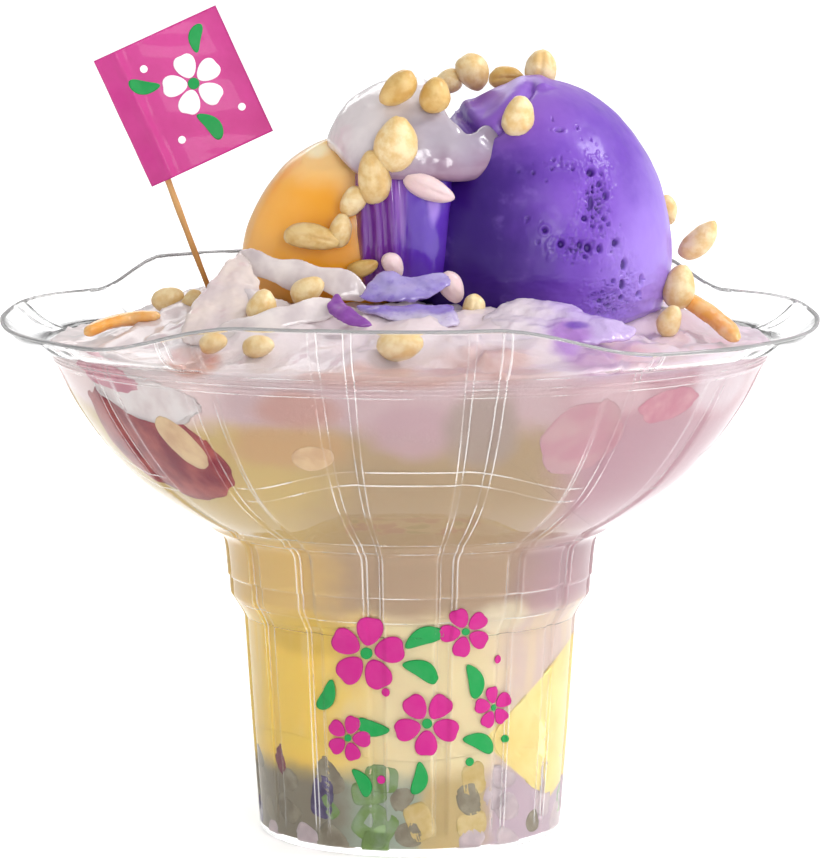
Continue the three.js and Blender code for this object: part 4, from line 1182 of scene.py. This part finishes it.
def makeKernels():
    random = np.random.default_rng(4)
    names = sorted(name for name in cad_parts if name.startswith("kernel_"))
    parts, tints = [], []
    for number, name in enumerate(names):
        places = np.array([v.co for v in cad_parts[name].data.vertices]) / mm
        centre = places.mean(0)
        spread = np.linalg.svd(places - centre, full_matrices=False)[2]
        local = (places - centre) @ spread.T
        half = (local.max(0) - local.min(0)) / 2 * 1.02
        middle = centre + (local.max(0) + local.min(0)) / 2 @ spread

        def shape(d):
            p = d * half
            p[:, 1:] *= 1 - 0.16 * d[:, :1]
            p[:, 1] += 0.09 * half[0] * (1 - d[:, 0] ** 2) * (number % 3 - 1)
            p[:, 2] -= 0.12 * half[2] * np.exp(-(d[:, 1] / 0.16) ** 2) * (d[:, 2] > 0)
            p *= (1 + 0.05 * waves(d, 1.8, number))[:, None]
            return p @ spread + middle

        parts.append(ball(shape, 22, 32))
        tints += [kernelTints.get(name, random.uniform(0, 0.45))] * len(parts[-1][0])
    finish = Finish("roasted_kernel", Roughness=0.42, Coat_Weight=0.12, Coat_Roughness=0.3,
                    Subsurface_Weight=0.15, Subsurface_Scale=0.002, Subsurface_Radius=(1, 0.7, 0.4))
    tint = finish.mark("tint")
    spots = finish.mottle(2.6, 4)
    pale = finish.between(spots, 0.3, 0.7, "#efdcb0", "#dcb878")
    dark = finish.between(spots, 0.3, 0.7, "#d3b06a", "#c19548")
    pinkish = finish.blend(spots, paint("#e9d6d2"), paint("#d9b4bc"))
    colour = finish.blend(finish.step(tint, 0.2, 0.85), pale, dark)
    finish.surface(Base_Color=finish.blend(finish.step(tint, 0.85, 1.0), colour, pinkish))
    finish.bump(finish.mottle(1), 0.3)
    piece = makeMesh("kernels", join(parts), finish, "roasted_kernel", names)
    markPoints(piece, "tint", tints)


# Flag on its stick

pick = {"tip": (-37.2, -5, 103), "top": (-57.5, -5, 158.5), "radius": 0.68}
flag = {"wide": 27.5, "high": 28.5, "lean": -24.5, "centre": (-46.8, -5, 154.7), "curl": 1.6, "thick": 0.25}


def makeStick():
    low, high = np.array(pick["tip"], float), np.array(pick["top"], float)
    way = (high - low) / np.linalg.norm(high - low)
    side = np.cross(way, (0, 1, 0))
    front = np.cross(side, way)
    turn = roundAbout(14)[:, None]
    rows = []
    for share in np.linspace(0, 1, 60):
        uneven = 1 + 0.05 * np.sin(share * 40 + turn * 2)
        radius = pick["radius"] * mix(0.75, 1.0, smooth(0, 0.6, share)) * uneven
        centre = low + (high - low) * share + side * 0.4 * math.sin(share * math.pi)
        rows.append(centre + radius * (np.cos(turn) * side + np.sin(turn) * front))
    finish = Finish("pick_wood", Roughness=0.6)
    fibre = finish.mottle(1.2, 3, 0.6, (1, 1, 0.3))
    colour = finish.between(finish.axis("z"), 112, 136, "#b5782c", "#d3a468")
    finish.surface(Base_Color=finish.over(colour, (fibre * 0.5, "#8f5a20")))
    finish.bump(fibre, 0.3)
    makeMesh("stick", skin(np.array(rows), low, high), finish, "pick_wood", ["pick_stick"])


def onFlag(across, up, lift):  # millimetres from the flag's middle
    lean = math.radians(flag["lean"])
    y = flag["curl"] * np.sin((across / flag["wide"] - 0.1) * 4) + lift
    x = across * math.cos(lean) + up * math.sin(lean)
    z = up * math.cos(lean) - across * math.sin(lean)
    cx, cy, cz = flag["centre"]
    return stacked(cx + x, cy + y, cz + z)


def onSide(side):  # a face of the paper, which stands out round the stick and is uneven
    def onto(across, up, lift=0):
        sleeve = 0.8 * np.exp(-((across + 9.1) / 1.1) ** 2)
        out = side * (flag["thick"] + sleeve + lift) + 0.25 * np.sin(up * 0.5 + across * 0.2)
        return onFlag(across, up, out)

    return onto


flagPrint = {
    # radius, turn, place
    "lift": 0.06, "flower": (6.6, 18, 3.0, 1.5), "heart": 1.2,
    "dot": 0.8, "dots": [(-5, 8.5), (10, -7), (-4, -8)],
    # length, width, direction in degrees, foot
    "leaves": [(7, 3, -70, 1.0, -4.6), (6.5, 2.8, 150, -3.4, 4.0), (6, 2.6, 60, 6.2, 7.0)],
}


def makeFlag():
    count = 60
    spread = np.linspace(-0.5, 0.5, count)
    across, up = np.meshgrid(spread * flag["wide"], spread * flag["high"], indexing="ij")
    sides = [onSide(side)(across, up).reshape(-1, 3) for side in (-1, 1)]
    faces = gridFaces(count, count, False)[:, ::-1].tolist()
    faces += gridFaces(count, count, False, count * count).tolist()
    rim = [i * count for i in range(count)] + [(count - 1) * count + j for j in range(1, count)]
    rim += [i * count + count - 1 for i in range(count - 2, -1, -1)] + list(range(count - 2, 0, -1))
    for a, b in zip(rim, rim[1:] + rim[:1]):
        faces.append([a, b, b + count * count, a + count * count])
    finish = Finish("flag_paper", Roughness=0.5, Coat_Weight=0.1)
    finish.surface(Base_Color=finish.blend(finish.mottle(3), paint("#b41f78"), paint("#c22a86")))
    finish.bump(finish.mottle(0.8, 2), 0.08)
    makeMesh("flag", (np.vstack(sides), faces), finish, "flag_paper", ["paper_flag"])
    white, green = [], []
    radius, turn, *middle = flagPrint["flower"]
    for side in (-1, 1):
        def printed(outline, place):
            return patch(outline, np.array(place), onSide(side), flagPrint["lift"])

        white += [printed(petal, middle) for petal in petals(radius, turn)]
        white += [printed(disc(flagPrint["dot"]), place) for place in flagPrint["dots"]]
        green.append(printed(disc(flagPrint["heart"]), middle))
        green += [printed(leafLine(*leaf[:3]), leaf[3:]) for leaf in flagPrint["leaves"]]
    makeMesh("flag_flower", join(white), inkFinish("white_ink", "#f6f1f4"), "flag_paper")
    makeMesh("flag_leaves", join(green), inkFinish("flag_green_ink", ink["green"]), "flag_paper")


for stage in (addCamera, addStudio, makeCup, makeFilling, makeSunken, makeWedge, makeBottom, makePrint,
              makeScoop, makeHalaya, makeFlan, makeDrape, makeShreds, makeKernels, makeStick, makeFlag):
    stage()
    print(stage.__name__, "done")
shown = [o.data for o in bpy.data.objects if o.type == "MESH" and not o.hide_render]
print("triangles:", sum(len(face.vertices) - 2 for mesh in shown for face in mesh.polygons))
